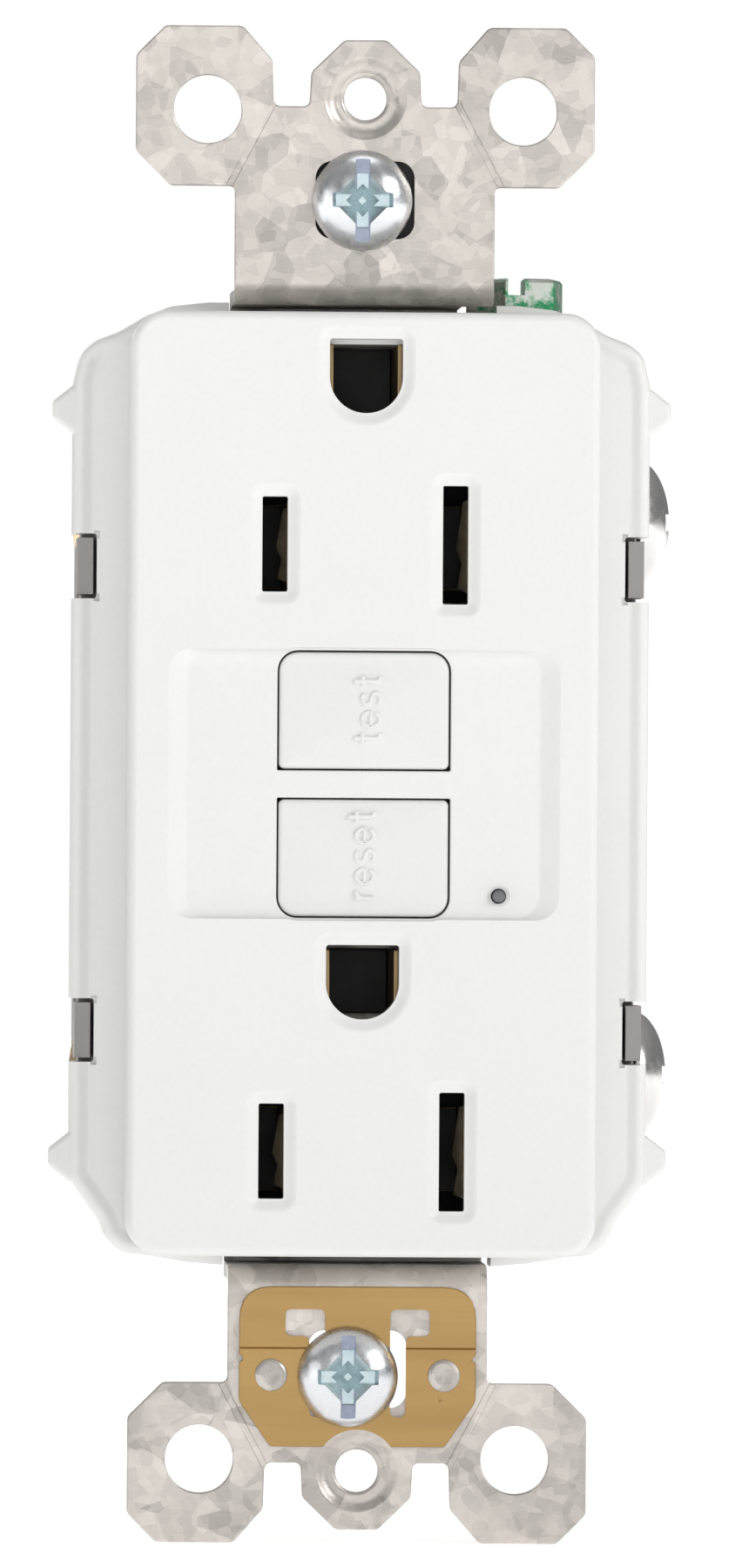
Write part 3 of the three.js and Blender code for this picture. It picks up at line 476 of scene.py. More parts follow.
def plastic(name, colour, rough, grain=0.006, grain_scale=2600, specular=0.4, shift=0.02):
    f = Finish(name)
    low = tuple(c * (1 - shift) for c in colour)
    high = tuple(min(1, c * (1 + shift)) for c in colour)
    base = f.mixed(f.noise(90, 4), low, high)
    speck = f.spread(f.noise(grain_scale, 2), 0.985, 1.0, 0.35, 0.6)
    base = f.mixed(1.0, base, speck, "MULTIPLY")
    flow = f.bump(f.noise(160, 2), 0.012)
    gloss = f.spread(f.noise(420, 4), rough - 0.06, rough + 0.06, 0.3, 0.7)
    return f.set(Base_Color=base, Roughness=gloss,
                 Specular_IOR_Level=specular, Normal=f.bump(f.noise(grain_scale, 3, 0.6), grain, under=flow))


def galvanised(name, tone):
    """Zinc spangle: crystals a few millimetres wide, each with its own brightness, gloss and feathering."""
    f = Finish(name)
    waves = f.node("ShaderNodeTexNoise", {"Vector": f.place, "Scale": 520, "Detail": 2}).outputs["Color"]
    place = f.node("ShaderNodeVectorMath", {0: waves, 1: (0.0005,) * 3, 2: f.place},
                   operation="MULTIPLY_ADD").outputs["Vector"]
    large = f.cells(430, place)
    small = f.cells(1150, place)
    split = f.node("ShaderNodeSeparateColor", {"Color": large})
    fine = f.node("ShaderNodeSeparateColor", {"Color": small})
    both = f.node("ShaderNodeMath", {0: split.outputs["Red"], 1: 0.62}, operation="MULTIPLY")
    both = f.node("ShaderNodeMath", {0: fine.outputs["Green"], 1: 0.38, 2: both.outputs[0]},
                  operation="MULTIPLY_ADD").outputs[0]
    feather = f.noise(1, 3, 0.6, f.scaled(900, 900, 5200, 0.6))
    both = f.node("ShaderNodeMath", {0: feather, 1: 0.25, 2: both}, operation="MULTIPLY_ADD").outputs[0]
    dark = tuple(c * 0.74 for c in tone)
    light = tuple(min(1, c * 1.16) for c in tone)
    base = f.ramp(both, (0.2, dark), (0.62, tone), (1.0, light))
    stain = f.spread(f.noise(140, 5, 0.6), 0.9, 1.0, 0.35, 0.55)
    base = f.mixed(1.0, base, stain, "MULTIPLY")
    tilt = f.bump(both, 0.03)
    return f.set(Base_Color=base, Metallic=0.82, Roughness=f.spread(split.outputs["Blue"], 0.34, 0.52),
                 Normal=f.bump(f.noise(5200, 2), 0.004, under=tilt))


def brushed(name, colour, rough, stretch=(60, 60, 3600), wear=0.10):
    """Rolled or brushed sheet. The pattern is finest along the axis with the largest stretch."""
    f = Finish(name)
    lines = f.noise(1, 4, 0.65, f.scaled(*stretch))
    wide = f.noise(1, 2, 0.5, f.scaled(stretch[0] * 0.6, stretch[1] * 0.6, stretch[2] * 0.09))
    dark = tuple(c * (1 - wear) for c in colour)
    light = tuple(min(1, c * (1 + wear)) for c in colour)
    base = f.mixed(lines, dark, light)
    base = f.mixed(f.spread(wide, 0, 0.5, 0.4, 0.65), base, tuple(c * (1 - 1.8 * wear) for c in colour))
    gloss = f.spread(lines, rough - 0.07, rough + 0.08, 0.3, 0.7)
    return f.set(Base_Color=base, Metallic=1.0, Roughness=gloss, Normal=f.bump(lines, 0.006))


def plated(name, colour, rough, blotch=0.07, scale=700):
    """Bright plated or drawn metal, a little uneven, with fine pits."""
    f = Finish(name)
    cloud = f.noise(scale, 4, 0.6)
    low = tuple(c * (1 - blotch) for c in colour)
    high = tuple(min(1, c * (1 + blotch)) for c in colour)
    base = f.mixed(cloud, low, high)
    gloss = f.spread(f.noise(scale * 2.2, 3), rough - 0.05, rough + 0.09, 0.3, 0.7)
    return f.set(Base_Color=base, Metallic=1.0, Roughness=gloss, Normal=f.bump(f.noise(scale * 4, 2), 0.0035))


def worn_paint(name, paint, metal):
    """Thin green dye on a plated head, rubbed off in random patches."""
    f = Finish(name)
    mask = f.ramp(f.noise(480, 6, 0.7), (0.44, 0.0), (0.56, 1.0))
    base = f.mixed(mask, metal, paint)
    return f.set(Base_Color=base, Metallic=f.spread(mask, 1.0, 0.55), Roughness=f.spread(mask, 0.3, 0.42),
                 Normal=f.bump(f.noise(2600, 3), 0.008))


def laminate(name):
    """Circuit board: green mask over tracks that run square to each other."""
    f = Finish(name)
    tracks = f.node("ShaderNodeTexBrick", {"Vector": f.scaled(1, 1, 1), "Scale": 260.0, "Mortar Size": 0.05,
                                           "Color1": (0.02, 0.16, 0.07, 1), "Color2": (0.03, 0.20, 0.09, 1),
                                           "Mortar": (0.06, 0.30, 0.14, 1)})
    tone = f.mixed(f.noise(300, 4), (0.85, 0.85, 0.85), (1, 1, 1))
    return f.set(Base_Color=f.mixed(1.0, tracks.outputs["Color"], tone, "MULTIPLY"), Roughness=0.38,
                 Normal=f.bump(tracks.outputs["Fac"], 0.02))


def wound(name):
    """Enamelled copper wire, wound round the coil's axis."""
    f = Finish(name)
    wave = f.node("ShaderNodeTexWave", {"Vector": f.place, "Scale": 900.0, "Distortion": 0.4, "Detail": 2.0},
                  wave_type="BANDS", bands_direction="Z").outputs["Fac"]
    base = f.mixed(wave, (0.22, 0.07, 0.03), (0.62, 0.26, 0.12))
    return f.set(Base_Color=base, Metallic=0.9, Roughness=0.3, Normal=f.bump(wave, 0.06))


def clear_plastic(name):
    f = Finish(name)
    cloud = f.noise(600, 3)
    return f.set(Base_Color=f.mixed(cloud, (0.10, 0.105, 0.11), (0.17, 0.175, 0.18)),
                 Roughness=f.spread(cloud, 0.08, 0.2), Specular_IOR_Level=0.6,
                 Normal=f.bump(f.noise(2400, 2), 0.003))


COVER = plastic("cover_plastic", (0.80, 0.80, 0.785), 0.40)
BUTTON = plastic("button_plastic", (0.78, 0.78, 0.77), 0.46, grain=0.012, grain_scale=3400)
BODY_GREY = plastic("body_plastic", (0.30, 0.288, 0.279), 0.48, grain=0.016, grain_scale=2200, shift=0.04)
# Near-black plastic: the own colour of the dark inner parts, and painted shade on the floors inside the
# openings.
INNER_DARK_AND_PAINTED_SHADE = plastic("inner_plastic", (0.035, 0.035, 0.038), 0.5, shift=0.08)
BOBBIN = plastic("bobbin_plastic", (0.62, 0.62, 0.58), 0.45)
SPANGLE = galvanised("strap_spangle", (0.60, 0.563, 0.522))
ZINC_PLAIN = plated("inner_zinc", (0.62, 0.61, 0.60), 0.36)
CLIP_BRASS = brushed("clip_brass", (0.44, 0.285, 0.115), 0.34, wear=0.14)
CONTACT_BRASS = brushed("contact_brass", (0.30, 0.215, 0.115), 0.36, stretch=(3600, 60, 60))
LIP_METAL = plated("contact_lip_metal", (0.92, 0.84, 0.70), 0.42, blotch=0.2, scale=500)
COPPER = plated("contact_copper", (0.72, 0.34, 0.20), 0.34)
SCREW_STEEL = plated("screw_steel", (0.73, 0.745, 0.765), 0.25)
# Darker, bluer copies of the screw steel: painted shade on the faces of the driver recess, and deeper painted
# shade in the slot.
SCREW_RECESS_PAINTED_SHADE = plated("screw_recess_painted_shade", (0.49, 0.585, 0.61), 0.26, blotch=0.2)
SCREW_SLOT_PAINTED_SHADE = plated("screw_slot_painted_shade", (0.27, 0.30, 0.38), 0.26, blotch=0.3)
SCREW_BRASS = plated("screw_brass", (0.72, 0.54, 0.27), 0.26)
CHROMED = plated("screw_chromed", (0.74, 0.73, 0.715), 0.22)
GREEN = worn_paint("screw_green", (0.02, 0.26, 0.10), (0.62, 0.66, 0.60))
SPRING = plated("spring_steel", (0.58, 0.59, 0.61), 0.28)
BOARD = laminate("board_laminate")
BLUE = plastic("component_blue", (0.05, 0.15, 0.38), 0.32)
WINDING = wound("winding_wire")
CLEAR = clear_plastic("clear_plastic")


# ---- the frame's own numbers
def span(node):
    low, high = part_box(node)
    return low / MM, high / MM


cover_low, cover_high = span("front_cover")
FACE_Y = cover_low.y
SKIRT_Y = cover_high.y
BAY_FRONT = 8.8  # front wall of the terminal bays, in Y
SEAM_GAP = 0.5  # the body starts less than this far behind the skirt
OUTLETS = [(28.7, 16.85), (-13.9, -25.8)]  # ground hole centre and blade slot centre, in Z
POCKET = 0.6  # depth of the sunk field round the buttons
POCKET_FLOOR = FACE_Y + POCKET
LAMP_AT = (9.53, -7.8)
GROUND_AT = (10.9, 5.5)  # the ground screw's axis, in X and Y
RIVET_X, RIVET_Z, RIVET_RADIUS = 6.1, -41.65, 0.8
PLATE_HOLE_Z = 48.42  # the threaded holes for a cover plate's screws
MOUNTING_SCREWS = {"upper": (-0.2, 41.2), "lower": (-0.7, -41.75)}
BEYOND = 60  # past the end of the strap
BLADE_X, SLOT_HALF, HOT_HALF, NEUTRAL_HALF = 6.35, 0.9, 3.35, 4.175
FLARE = 0.93  # how wide the soft recess round every opening is
FLARE_DEPTH = 0.42
THROUGH = FACE_Y + 3  # well behind the wall of the face


def flare_stations():
    """(growth, y) from deep inside an opening, over its ledge and soft recess, to above the face."""
    rows = [(0, THROUGH), (0, FACE_Y + FLARE_DEPTH)]
    for t in (0.12, 0.26, 0.4, 0.54, 0.68, 0.82, 0.93):
        ease = t * t * (3 - 2 * t)
        rows.append((FLARE * t, FACE_Y + FLARE_DEPTH * (1 - ease) + 0.004))
    return rows + [(FLARE * 1.3, FACE_Y - 0.03), (FLARE * 1.3, FACE_Y - 1)]


def flared_hole(outline):
    outline = turned_ccw(outline)
    return loft("tool", [at_y(grown(outline, g), y) for g, y in flare_stations()])


def ground_outline(z):
    return rrect(0, z, 2.58, 2.62, [2.57, 0.22, 0.22, 2.57], 12)


def blade_outline(side, z, half):
    return rrect(side * BLADE_X, z, SLOT_HALF, half, 0.14)


# The flange's right half from top to bottom, and the bead on its front edge as (growth, y).
FLANGE = [(9.2, 34.05), (11, 34.05), (13.6, 33.75), (15.3, 33.1), (17.3, 31.9), (18.9, 31.3), (19.9, 30.5),
          (20.4, 28.3), (20.4, -27.9), (18.2, -31.0), (17.9, -32.0), (16.7, -33.2), (14.9, -33.35),
          (12.2, -33.8), (9.2, -34.05)]
BEAD = [(0, SKIRT_Y), (0, 1.85), (-0.05, 1.6), (-0.16, 1.38), (-0.34, 1.24), (-0.55, 1.2), (-0.76, 1.25),
        (-0.98, 1.4), (-1.2, 1.52), (-1.4, 1.56)]
NUB_Z = 26.4
SNAP_WINDOWS = ((13.05, 17.65), (-19.7, -15.2))  # from and to, in Z
WINDOW_NOTCH = (-0.2, 0.35)  # how far the notch in each corner of a snap window reaches out and in


def front_cover():
    outline = rrect(0, 0, 16.5, 33.2, 2.5, 10)
    cover = plate("front_cover", outline, FACE_Y, SKIRT_Y, 0.62, 0.1)
    rim = turned_ccw(rounded(mirrored(FLANGE), 2.2, 5))
    flange = loft("tool", [at_y(grown(rim, g), y) for g, y in BEAD])
    added(cover, flange)
    nubs = []
    for side in (-1, 1):
        for z in (-NUB_Z, NUB_Z):
            shape = [(side * 19.6, z - 2.1, 0.1), (side * 20.5, z - 1.7, 0.6), (side * 21.88, z - 0.62, 0.55),
                     (side * 21.88, z + 0.62, 0.55), (side * 20.5, z + 1.7, 0.6), (side * 19.6, z + 2.1, 0.1)]
            nubs.append(plate("tool", rounded(shape, 0.4), 1.42, 2.8, 0.42, 0.2))
    added(cover, *nubs)
    cut(cover, prism(rrect(0, 0, 15.0, 31.0, 1.5), FACE_Y + 1.8, SKIRT_Y + 1))
    cut(cover, prism(rrect(0, 0, 18.6, 29.5, 1.5), 2.8, SKIRT_Y + 1))
    added(cover, block((-7.5, 7.5), (FACE_Y + 1.3, -1.0), (-10.8, 10.8)))
    cuts = [block((-9.47, 9.47), (0.2, SKIRT_Y + 1), sorted((end * 33.35, end * 36))) for end in (-1, 1)]
    cuts += [block((-4.3, -2.4), (-3.2, 0.5), (32.62, 34)), block((2.6, 4.4), (-3.2, 0.5), (32.62, 34))]
    for low, high in SNAP_WINDOWS:
        for side in (-1, 1):
            shape = [(side * 18.7, low), (side * 21.4, low), (side * 21.4, high), (side * 18.7, high)]
            cuts.append(prism(rounded(shape, 0.25), 0.2, SKIRT_Y + 1))
            across = sorted((side * 18.5, side * 18.9))
            cuts.append(block(across, (0.2, 2.0), (high - WINDOW_NOTCH[1], high - WINDOW_NOTCH[0])))
            cuts.append(block(across, (0.2, 2.0), (low + WINDOW_NOTCH[0], low + WINDOW_NOTCH[1])))
    cut(cover, *cuts)
    cut(cover, block((7.0, 15.2), (1.5, SKIRT_Y + 1), (31.9, 36)))
    cut(cover, turned("tool", [(0, 29), (2.1, 29), (2.1, 34), (0, 34)], GROUND_AT, "z", COARSE))
    rows = []
    for t, deep in ((0, 1), (0.06, 0.985), (0.16, 0.92), (0.84, 0.12), (0.94, 0.02), (1.1, -0.04),
                    (1.1, -1.5)):
        hx, hz = 12.3 + 1.55 * t, 9.34 + 0.16 * t
        rows.append(at_y(rrect(0, 0, hx, hz, 1.65, 8), FACE_Y + POCKET * deep))
    cut(cover, loft("tool", rows))
    wells = []
    for up in (-1, 1):
        outline = well_outline(up, 0)
        wells.append(loft("tool", [at_y(grown(outline, g), y) for g, y in (
            (0, 0.2), (0, POCKET_FLOOR + 0.16), (0.04, POCKET_FLOOR + 0.06), (0.13, POCKET_FLOOR - 0.01),
            (0.2, POCKET_FLOOR - 0.6))]))
    combine(cover, "DIFFERENCE", wells)
    holes = []
    for ground, blade in OUTLETS:
        holes += [flared_hole(ground_outline(ground)), flared_hole(blade_outline(-1, blade, HOT_HALF)),
                  flared_hole(blade_outline(1, blade, NEUTRAL_HALF))]
    combine(cover, "DIFFERENCE", holes)
    lamp_hole = [(0, -1), (0.85, -1), (0.85, -0.02), (0.74, 0.05), (0.55, 0.09), (0.52, 0.16)]
    lamp_hole = [(r, POCKET_FLOOR + deep) for r, deep in lamp_hole] + [(0.52, THROUGH), (0, THROUGH)]
    cut(cover, turned("tool", lamp_hole, LAMP_AT, "y", COARSE))
    piece(cover, "front_cover_shell", "housing", [COVER], ["front_cover"])


def well_outline(up, clear, inner=0.1):
    """A button well, or its button with that much clearance; up is 1 above the bar and -1 below."""
    half, near, far, radius = 6.1 - clear, 0.96 + clear, 9.4 - clear, 1.45 - clear
    middle, high = (near + far) / 2, (far - near) / 2
    radii = [inner, radius, radius, inner] if up > 0 else [radius, inner, inner, radius]
    return rrect(0, up * middle, half, high, radii)


BUTTON_Z = 5.18  # middle of each button, above and below the bar
BUTTON_EDGE, BUTTON_FOOT = -5.86, 3.0  # the cap's edge and its foot, in Y
CROWN = 0.2  # how far the middle of a cap stands above its edge
CAP_INSET = 0.32  # where the crown starts, in from the outline


def button(up, name, body, word, where):
    outline = well_outline(up, 0.12, 0.42)
    centre = up * BUTTON_Z
    rings = [at_y(outline, BUTTON_FOOT), at_y(outline, BUTTON_EDGE + 0.34)]
    for g, y in ((-0.03, 0.2), (-0.1, 0.09), (-0.2, 0.025), (-CAP_INSET, 0.0)):
        rings.append(at_y(grown(outline, g), BUTTON_EDGE + y))
    inner = grown(outline, -CAP_INSET)
    for s in (0.93, 0.84, 0.72, 0.58, 0.42, 0.26, 0.12):
        crown = BUTTON_EDGE - CROWN * (1 - s * s)
        rings.append([(x * s, crown, centre + (z - centre) * s) for x, z in inner])
    cap = loft(name, rings)
    lip = block((-7.0, 7.0), (-0.7, 0.8), sorted((up * 0.5, up * 10.3)))
    added(cap, lip)
    piece(cap, name + "_cap", body, [BUTTON], [name])
    lettering(name + "_lettering", word, where, BUTTON_EDGE - CROWN, body)


def bow(cx, cz, rx, rz, start, end, steps=10):
    """Part of an oval, as stroke points; angles in degrees, counter-clockwise from the right."""
    return [(cx + rx * math.cos(math.radians(start + (end - start) * i / steps)),
             cz + rz * math.sin(math.radians(start + (end - start) * i / steps))) for i in range(steps + 1)]


# Letter strokes in a 1 unit x-height, each letter with its width.
STROKES = {
    "t": (0.62, [[(0.3, 1.38), (0.3, 0.22)] + bow(0.5, 0.22, 0.2, 0.2, 180, 280, 5),
                 [(0.04, 0.95), (0.58, 0.95)]]),
    "e": (0.9, [[(0.06, 0.52), (0.84, 0.52)] + bow(0.45, 0.5, 0.39, 0.48, 3, 325, 16)]),
    "s": (0.74, [bow(0.37, 0.73, 0.29, 0.25, 35, 270, 9) + bow(0.37, 0.245, 0.31, 0.235, 90, -145, 9)]),
    "r": (0.56, [[(0.1, 0.98), (0.1, 0.02)], [(0.1, 0.6)] + bow(0.42, 0.6, 0.3, 0.36, 170, 80, 6)]),
}
LETTER_SIZE, LETTER_GAP, STROKE_RADIUS = 1.32, 0.34, 0.175
STROKE_SINK = 0.03  # how far a stroke's middle lies under the cap's surface


def lettering(name, word, where, surface, body):
    """A raised word that reads upwards, in rounded strokes that stand proud of the cap."""
    curve = bpy.data.curves.new(name, "CURVE")
    curve.dimensions = "3D"
    curve.bevel_depth = STROKE_RADIUS
    curve.bevel_resolution = 3
    curve.use_fill_caps = True
    length = sum(STROKES[c][0] for c in word) * LETTER_SIZE + LETTER_GAP * (len(word) - 1)
    along = where[1] - length / 2
    for letter in word:
        width, strokes = STROKES[letter]
        for stroke in strokes:
            spline = curve.splines.new("POLY")
            spline.points.add(len(stroke) - 1)
            for point, (u, v) in zip(spline.points, stroke):
                x, z = where[0] - (v - 0.5) * LETTER_SIZE, along + u * LETTER_SIZE
                point.co = (x, surface + STROKE_SINK, z, 1)
        along += width * LETTER_SIZE + LETTER_GAP
    text = linked("tool", curve)
    mesh = final_mesh(text)
    bpy.data.objects.remove(text)
    piece(linked(name, mesh), name, body, [BUTTON], angle=60)


# ---- what shows inside the openings
GROUND_FLOOR, BLADE_FLOOR = (7.2, 7.6), (5.5, 5.9)  # front and back of each floor, in Y
LIP_FRONT, LIP_SLOPE, LIP_THICK = -3.6, 1.5, 0.3


def inside_openings():
    """Insulating floors between the contact leaves, near-black as painted shade deep in each opening, and the
    slanted mouths of the leaves.
    """
    for (ground, blade), end in zip(OUTLETS, ("upper", "lower")):
        floor = block((-2.2, 2.2), GROUND_FLOOR, (ground - 2.25, ground + 2.25))
        floors = [floor]
        for side in (-1, 1):
            x = side * BLADE_X
            floors.append(block((x - 0.82, x + 0.82), BLADE_FLOOR, (blade - 2.9, blade + 2.9)))
        bevelled(joined(floors), 0.08)
        # The floors take the near-black plastic: painted shade deep inside the openings.
        piece(floor, f"{end}_contact_floor_painted_shade", "housing", [INNER_DARK_AND_PAINTED_SHADE])
        for side, half, word in ((-1, HOT_HALF, "hot"), (1, NEUTRAL_HALF, "neutral")):
            x = side * BLADE_X
            shape = [(0.95, half * 0.78), (0.62, half * 0.74), (0.2, -half * 0.05), (0.55, -half * 0.3),
                     (0.3, -half * 0.72), (0.95, -half * 0.8)]
            front = [(x + u, LIP_FRONT + LIP_SLOPE * (0.95 - u), blade + v) for u, v in shape]
            back = [(px, py + LIP_THICK, pz) for px, py, pz in front]
            lip = bevelled(loft("tool", [front, back]), 0.06)
            piece(lip, f"{end}_{word}_contact_lip", "housing", [LIP_METAL])


# ---- strap
STRAP_THICK = 1.1
STRAP_FRONT = -STRAP_THICK
LEDGE_Z = 33.85  # inner face of the part that runs back into the device
EAR_HOLE_X, EAR_HOLE_Z, EAR_HOLE_RADIUS = 11.14, 47.6, 2.4
SCREW_SLOT_Z = 41.25
# The right half of an ear end, from the middle outwards and down to the neck, with corner radii.
STRAP_HALF = [(1.5, 52.55, 0.7), (3.83, 50.3, 0.7), (3.95, 47.85, 0.55), (6.5, 47.85, 0.6), (6.6, 51.1, 0.7),
              (8.7, 53.5, 0.7), (14.15, 53.5, 0.7), (16.2, 51.45, 0.7), (16.2, 44.65, 0.7),
              (13.75, 42.2, 0.7), (9.17, 42.2, 0.5), (9.17, 34, 0.01)]


def strap_end(end):
    outline = [(x, end * z, *r) for x, z, *r in mirrored(STRAP_HALF)]
    sheet = plate("mounting_strap", rounded(outline, 0.5, 6), STRAP_FRONT, 0, 0.14, 0.14)
    return cut(sheet, block((-20, 20), (-3, 3), sorted((end * 30, end * 36))))


def strap_bend(end):
    """The neck turning back into the device: its section, swept through straight, arc and straight."""
    half, near, far = 9.16, 0.01, 1.09
    section = rounded([(-half, near), (half, near), (half, far), (-half, far)], 0.14, 4)
    inner, steps, run_back = 0.6, 12, 4.5
    centre_z, centre_y = LEDGE_Z + STRAP_THICK + inner, inner
    rings = [[(x, STRAP_FRONT + d, end * (centre_z + 1.5)) for x, d in section]]
    for i in range(steps + 1):
        a = math.radians(90 * i / steps)
        ring = []
        for x, d in section:
            r = inner + STRAP_THICK - d
            ring.append((x, centre_y - r * math.cos(a), end * (centre_z - r * math.sin(a))))
        rings.append(ring)
    rings.append([(x, run_back, end * (LEDGE_Z + d)) for x, d in section])
    return loft("tool", rings)


def dish(end):
    """The drawn-in ring round the plate-screw hole, with its threads."""
    profile = [(0, -1), (3.1, -1), (3.1, -0.02), (2.9, 0.01), (2.78, 0.07), (2.6, 0.2), (2.4, 0.34),
               (2.2, 0.42), (1.98, 0.44), (1.86, 0.4), (1.74, 0.4), (1.62, 0.46), (1.5, 0.56)]
    for k in range(4):
        profile += [(1.5, 0.62 + 0.22 * k), (1.62, 0.71 + 0.22 * k), (1.5, 0.8 + 0.22 * k)]
    profile = [(r, STRAP_FRONT + deep) for r, deep in profile] + [(1.5, 1), (0, 1)]
    return turned("tool", profile, (0, end * PLATE_HOLE_Z))


def rimmed_hole(x, z, radius, edge=0.12):
    """A hole through the sheet with softened edges."""
    wide, near = radius + edge, radius + edge * 0.3
    rows = [(0, -1), (wide, -1), (wide, -0.01), (near, 0.04), (radius, edge)]
    rows = [(r, STRAP_FRONT + deep) for r, deep in rows]
    rows += [(radius, -edge), (near, -0.04), (wide, 0.01), (wide, 1), (0, 1)]
    return turned("tool", rows, (x, z))


def score(end, side, shift):
    """A fine groove from a centre tab to the neck."""
    a, b = Vector((6.5 * side, end * 48.1)), Vector((9.6 * side, end * 42.2))
    across = Vector((b.y - a.y, a.x - b.x)).normalized()
    a, b = a + across * shift, b + across * shift
    w = 0.07
    rings = []
    for p in (a, b):
        rings.append([(p.x - across.x * w, STRAP_FRONT - 0.02, p.y - across.y * w),
                      (p.x + across.x * w, STRAP_FRONT - 0.02, p.y + across.y * w),
                      (p.x, STRAP_FRONT + 0.055, p.y)])
    return loft("tool", rings)


def mounting_strap():
    strap = copied("mounting_strap", "mounting_strap")
    cut(strap, block((-20, 20), (-3, 3.2), (33, BEYOND)), block((-20, 20), (-3, 3.2), (-BEYOND, -33)))
    for end in (1, -1):
        top = strap_end(end)
        added(top, strap_bend(end))
        if end > 0:
            cut(top, block((7.0, 12), (1.5, 9), (33.35, 36)))
        cut(top, *[rimmed_hole(x, end * EAR_HOLE_Z, EAR_HOLE_RADIUS) for x in (EAR_HOLE_X, -EAR_HOLE_X)])
        cut(top, dish(end), prism(rrect(0, end * SCREW_SLOT_Z, 3.5, 2.75, 1.2), -3, 3))
        for side in (-1, 1):
            for shift in (-0.22, 0.22):
                cut(top, score(end, side, shift))
        if end < 0:
            cut(top, *[rimmed_hole(side * RIVET_X, RIVET_Z, RIVET_RADIUS, 0.02) for side in (-1, 1)])
        added(strap, top)
    piece(strap, "mounting_strap_sheet", "housing", [SPANGLE], ["mounting_strap"], 30)


# ---- brass clip
FOLD_Z = -39.75
CLIP_NECK = (3.4, -38.9)  # inner corner of each slit's wide top, in X and Z


def ground_clip():
    low, high = span("self_ground_clip")
    through = (low.y - 1, high.y + 1)
    right = [(6.15, -46.7, 0.4), (8.35, -43.5, 1.2), (8.35, -40.75, 0.1), (8.12, -40.6, 0.1),
             (8.12, -40.35, 0.1), (8.35, -40.2, 0.1), (8.35, -35.4, 2.9)]
    outline = [(-6.15, -46.7, 0.4)] + right + [(-x, z, r) for x, z, r in right[:0:-1]]
    clip = plate("self_ground_clip", rounded(outline, 0.3, 6), low.y, high.y, 0.09, 0.05)
    tools = []
    for side in (-1, 1):
        shape = [(2.3, -44.6, 0.45), (CLIP_NECK[0], -44.6, 0.45), (*CLIP_NECK, 0.5),
                 (5.1, CLIP_NECK[1], 0.45), (5.1, -37.0, 0.45), (2.3, -37.0, 0.45)]
        tools.append(prism(rounded([(side * x, z, r) for x, z, r in shape], 0.4), *through))
        tools.append(prism(circle(side * RIVET_X, RIVET_Z, RIVET_RADIUS, COARSE), *through))
    tools.append(prism(circle(*MOUNTING_SCREWS["lower"], 1.85, COARSE), *through))
    tools.append(prism(circle(0, -PLATE_HOLE_Z, 2.95), *through))
    cut(clip, *tools)
    above = low.y - 0.02
    cut(clip, loft("tool", [[(x, above, FOLD_Z - 0.09), (x, above, FOLD_Z + 0.09), (x, low.y + 0.07, FOLD_Z)]
                            for x in (-9, 9)]))
    pit = [(0, low.y - 1), (0.22, low.y - 1), (0.2, low.y + 0.02), (0, low.y + 0.12)]
    cut(clip, turned("tool", pit, (5.8, -43.3), "y", COARSE))
    piece(clip, "self_ground_clip_sheet", "housing", [CLIP_BRASS], ["self_ground_clip"], 30)
    for side, node in ((-1, "clip_rivet_left"), (1, "clip_rivet_right")):
        low, high = span(node)
        profile = [(0, 0.16), (0.35, 0.12), (0.6, 0.02), (0.8, 0), (1.0, 0.05), (1.12, 0.16), (1.15, 0.3),
                   (0.7, 0.31)]
        profile = [(r, low.y + deep) for r, deep in profile] + [(0.7, high.y), (0, high.y)]
        rivet = turned("tool", profile, (side * RIVET_X, RIVET_Z), "y", COARSE)
        piece(rivet, node + "_head", "housing", [SPANGLE], [node], 30)


# ---- screws
CROSS_WIDE, CROSS_LONG, CROSS_DEEP = 1.05, 4.35, 1.15  # one wing of the driver recess
TRUSS_HIGH, TRUSS_RADIUS = 2.1, 3.55  # head of a mounting screw
MOUNTING_THREAD, TERMINAL_THREAD, GROUND_THREAD = (1.72, 0.34), (1.8, 0.32), (1.75, 0.34)  # radius and depth
TERMINAL_HIGH, TERMINAL_RADIUS, TERMINAL_SLOT_HALF = 2.4, 4.5, 0.6
HEX_HIGH, HEX_FLATS, HEX_TURN = 2.6, 6.35, 18  # head of the ground screw; turned by so many degrees
HEX_SLOT_HALF = 0.6  # its driver slot


def recess(x, z, top):
    """A Phillips recess, as the three tools that cut it one after another."""
    tools = []
    for turn in (0, math.pi / 2):
        rings = []
        for grow, y in ((0.12, top - 0.6), (0.10, top + 0.1), (0, top + 0.35), (-0.12, top + CROSS_DEEP)):
            long, half = CROSS_LONG / 2 + grow * 2.4, CROSS_WIDE / 2 + grow
            corners = [(-long, -half), (long, -half), (long, half), (-long, half)]
            cos, sin = math.cos(turn), math.sin(turn)
            rings.append([(x + a * cos - b * sin, y, z + a * sin + b * cos) for a, b in corners])
        tools.append(loft("tool", rings, 1))
    quarters = (0, math.pi / 2, math.pi, 1.5 * math.pi)
    rows = ((2.25, top - 0.6), (2.2, top + 0.5), (1.6, top + 0.85), (0.3, top + CROSS_DEEP + 0.6))
    square = [[(x + r * math.cos(a), y, z + r * math.sin(a)) for a in quarters] for r, y in rows]
    return tools + [loft("tool", square, 1)]


def mounting_screw(end, x, z):
    node = f"{end}_mounting_screw"
    low, high = span(node)
    seat = low.y + TRUSS_HIGH
    radius = MOUNTING_THREAD[0]
    head = dome(TRUSS_RADIUS, TRUSS_HIGH, seat, -1) + [(1.75, seat), (radius, seat + 0.3)]
    screw = screw_body(node, head, seat + 0.4, high.y, MOUNTING_THREAD, (x, z), "y")
    slot = [(x - 0.52, z - 5), (x + 0.52, z - 5), (x + 0.52, z + 5), (x - 0.52, z + 5)]
    # The slot's tool carries finish 2 and the recess's tools finish 1, so painted shade lies inside them.
    cut(screw, prism(slot, low.y - 1, low.y + 0.95, 2), *recess(x, z, low.y))
    piece(screw, node + "_body", node, [SCREW_STEEL, SCREW_RECESS_PAINTED_SHADE, SCREW_SLOT_PAINTED_SHADE], [node], 30)


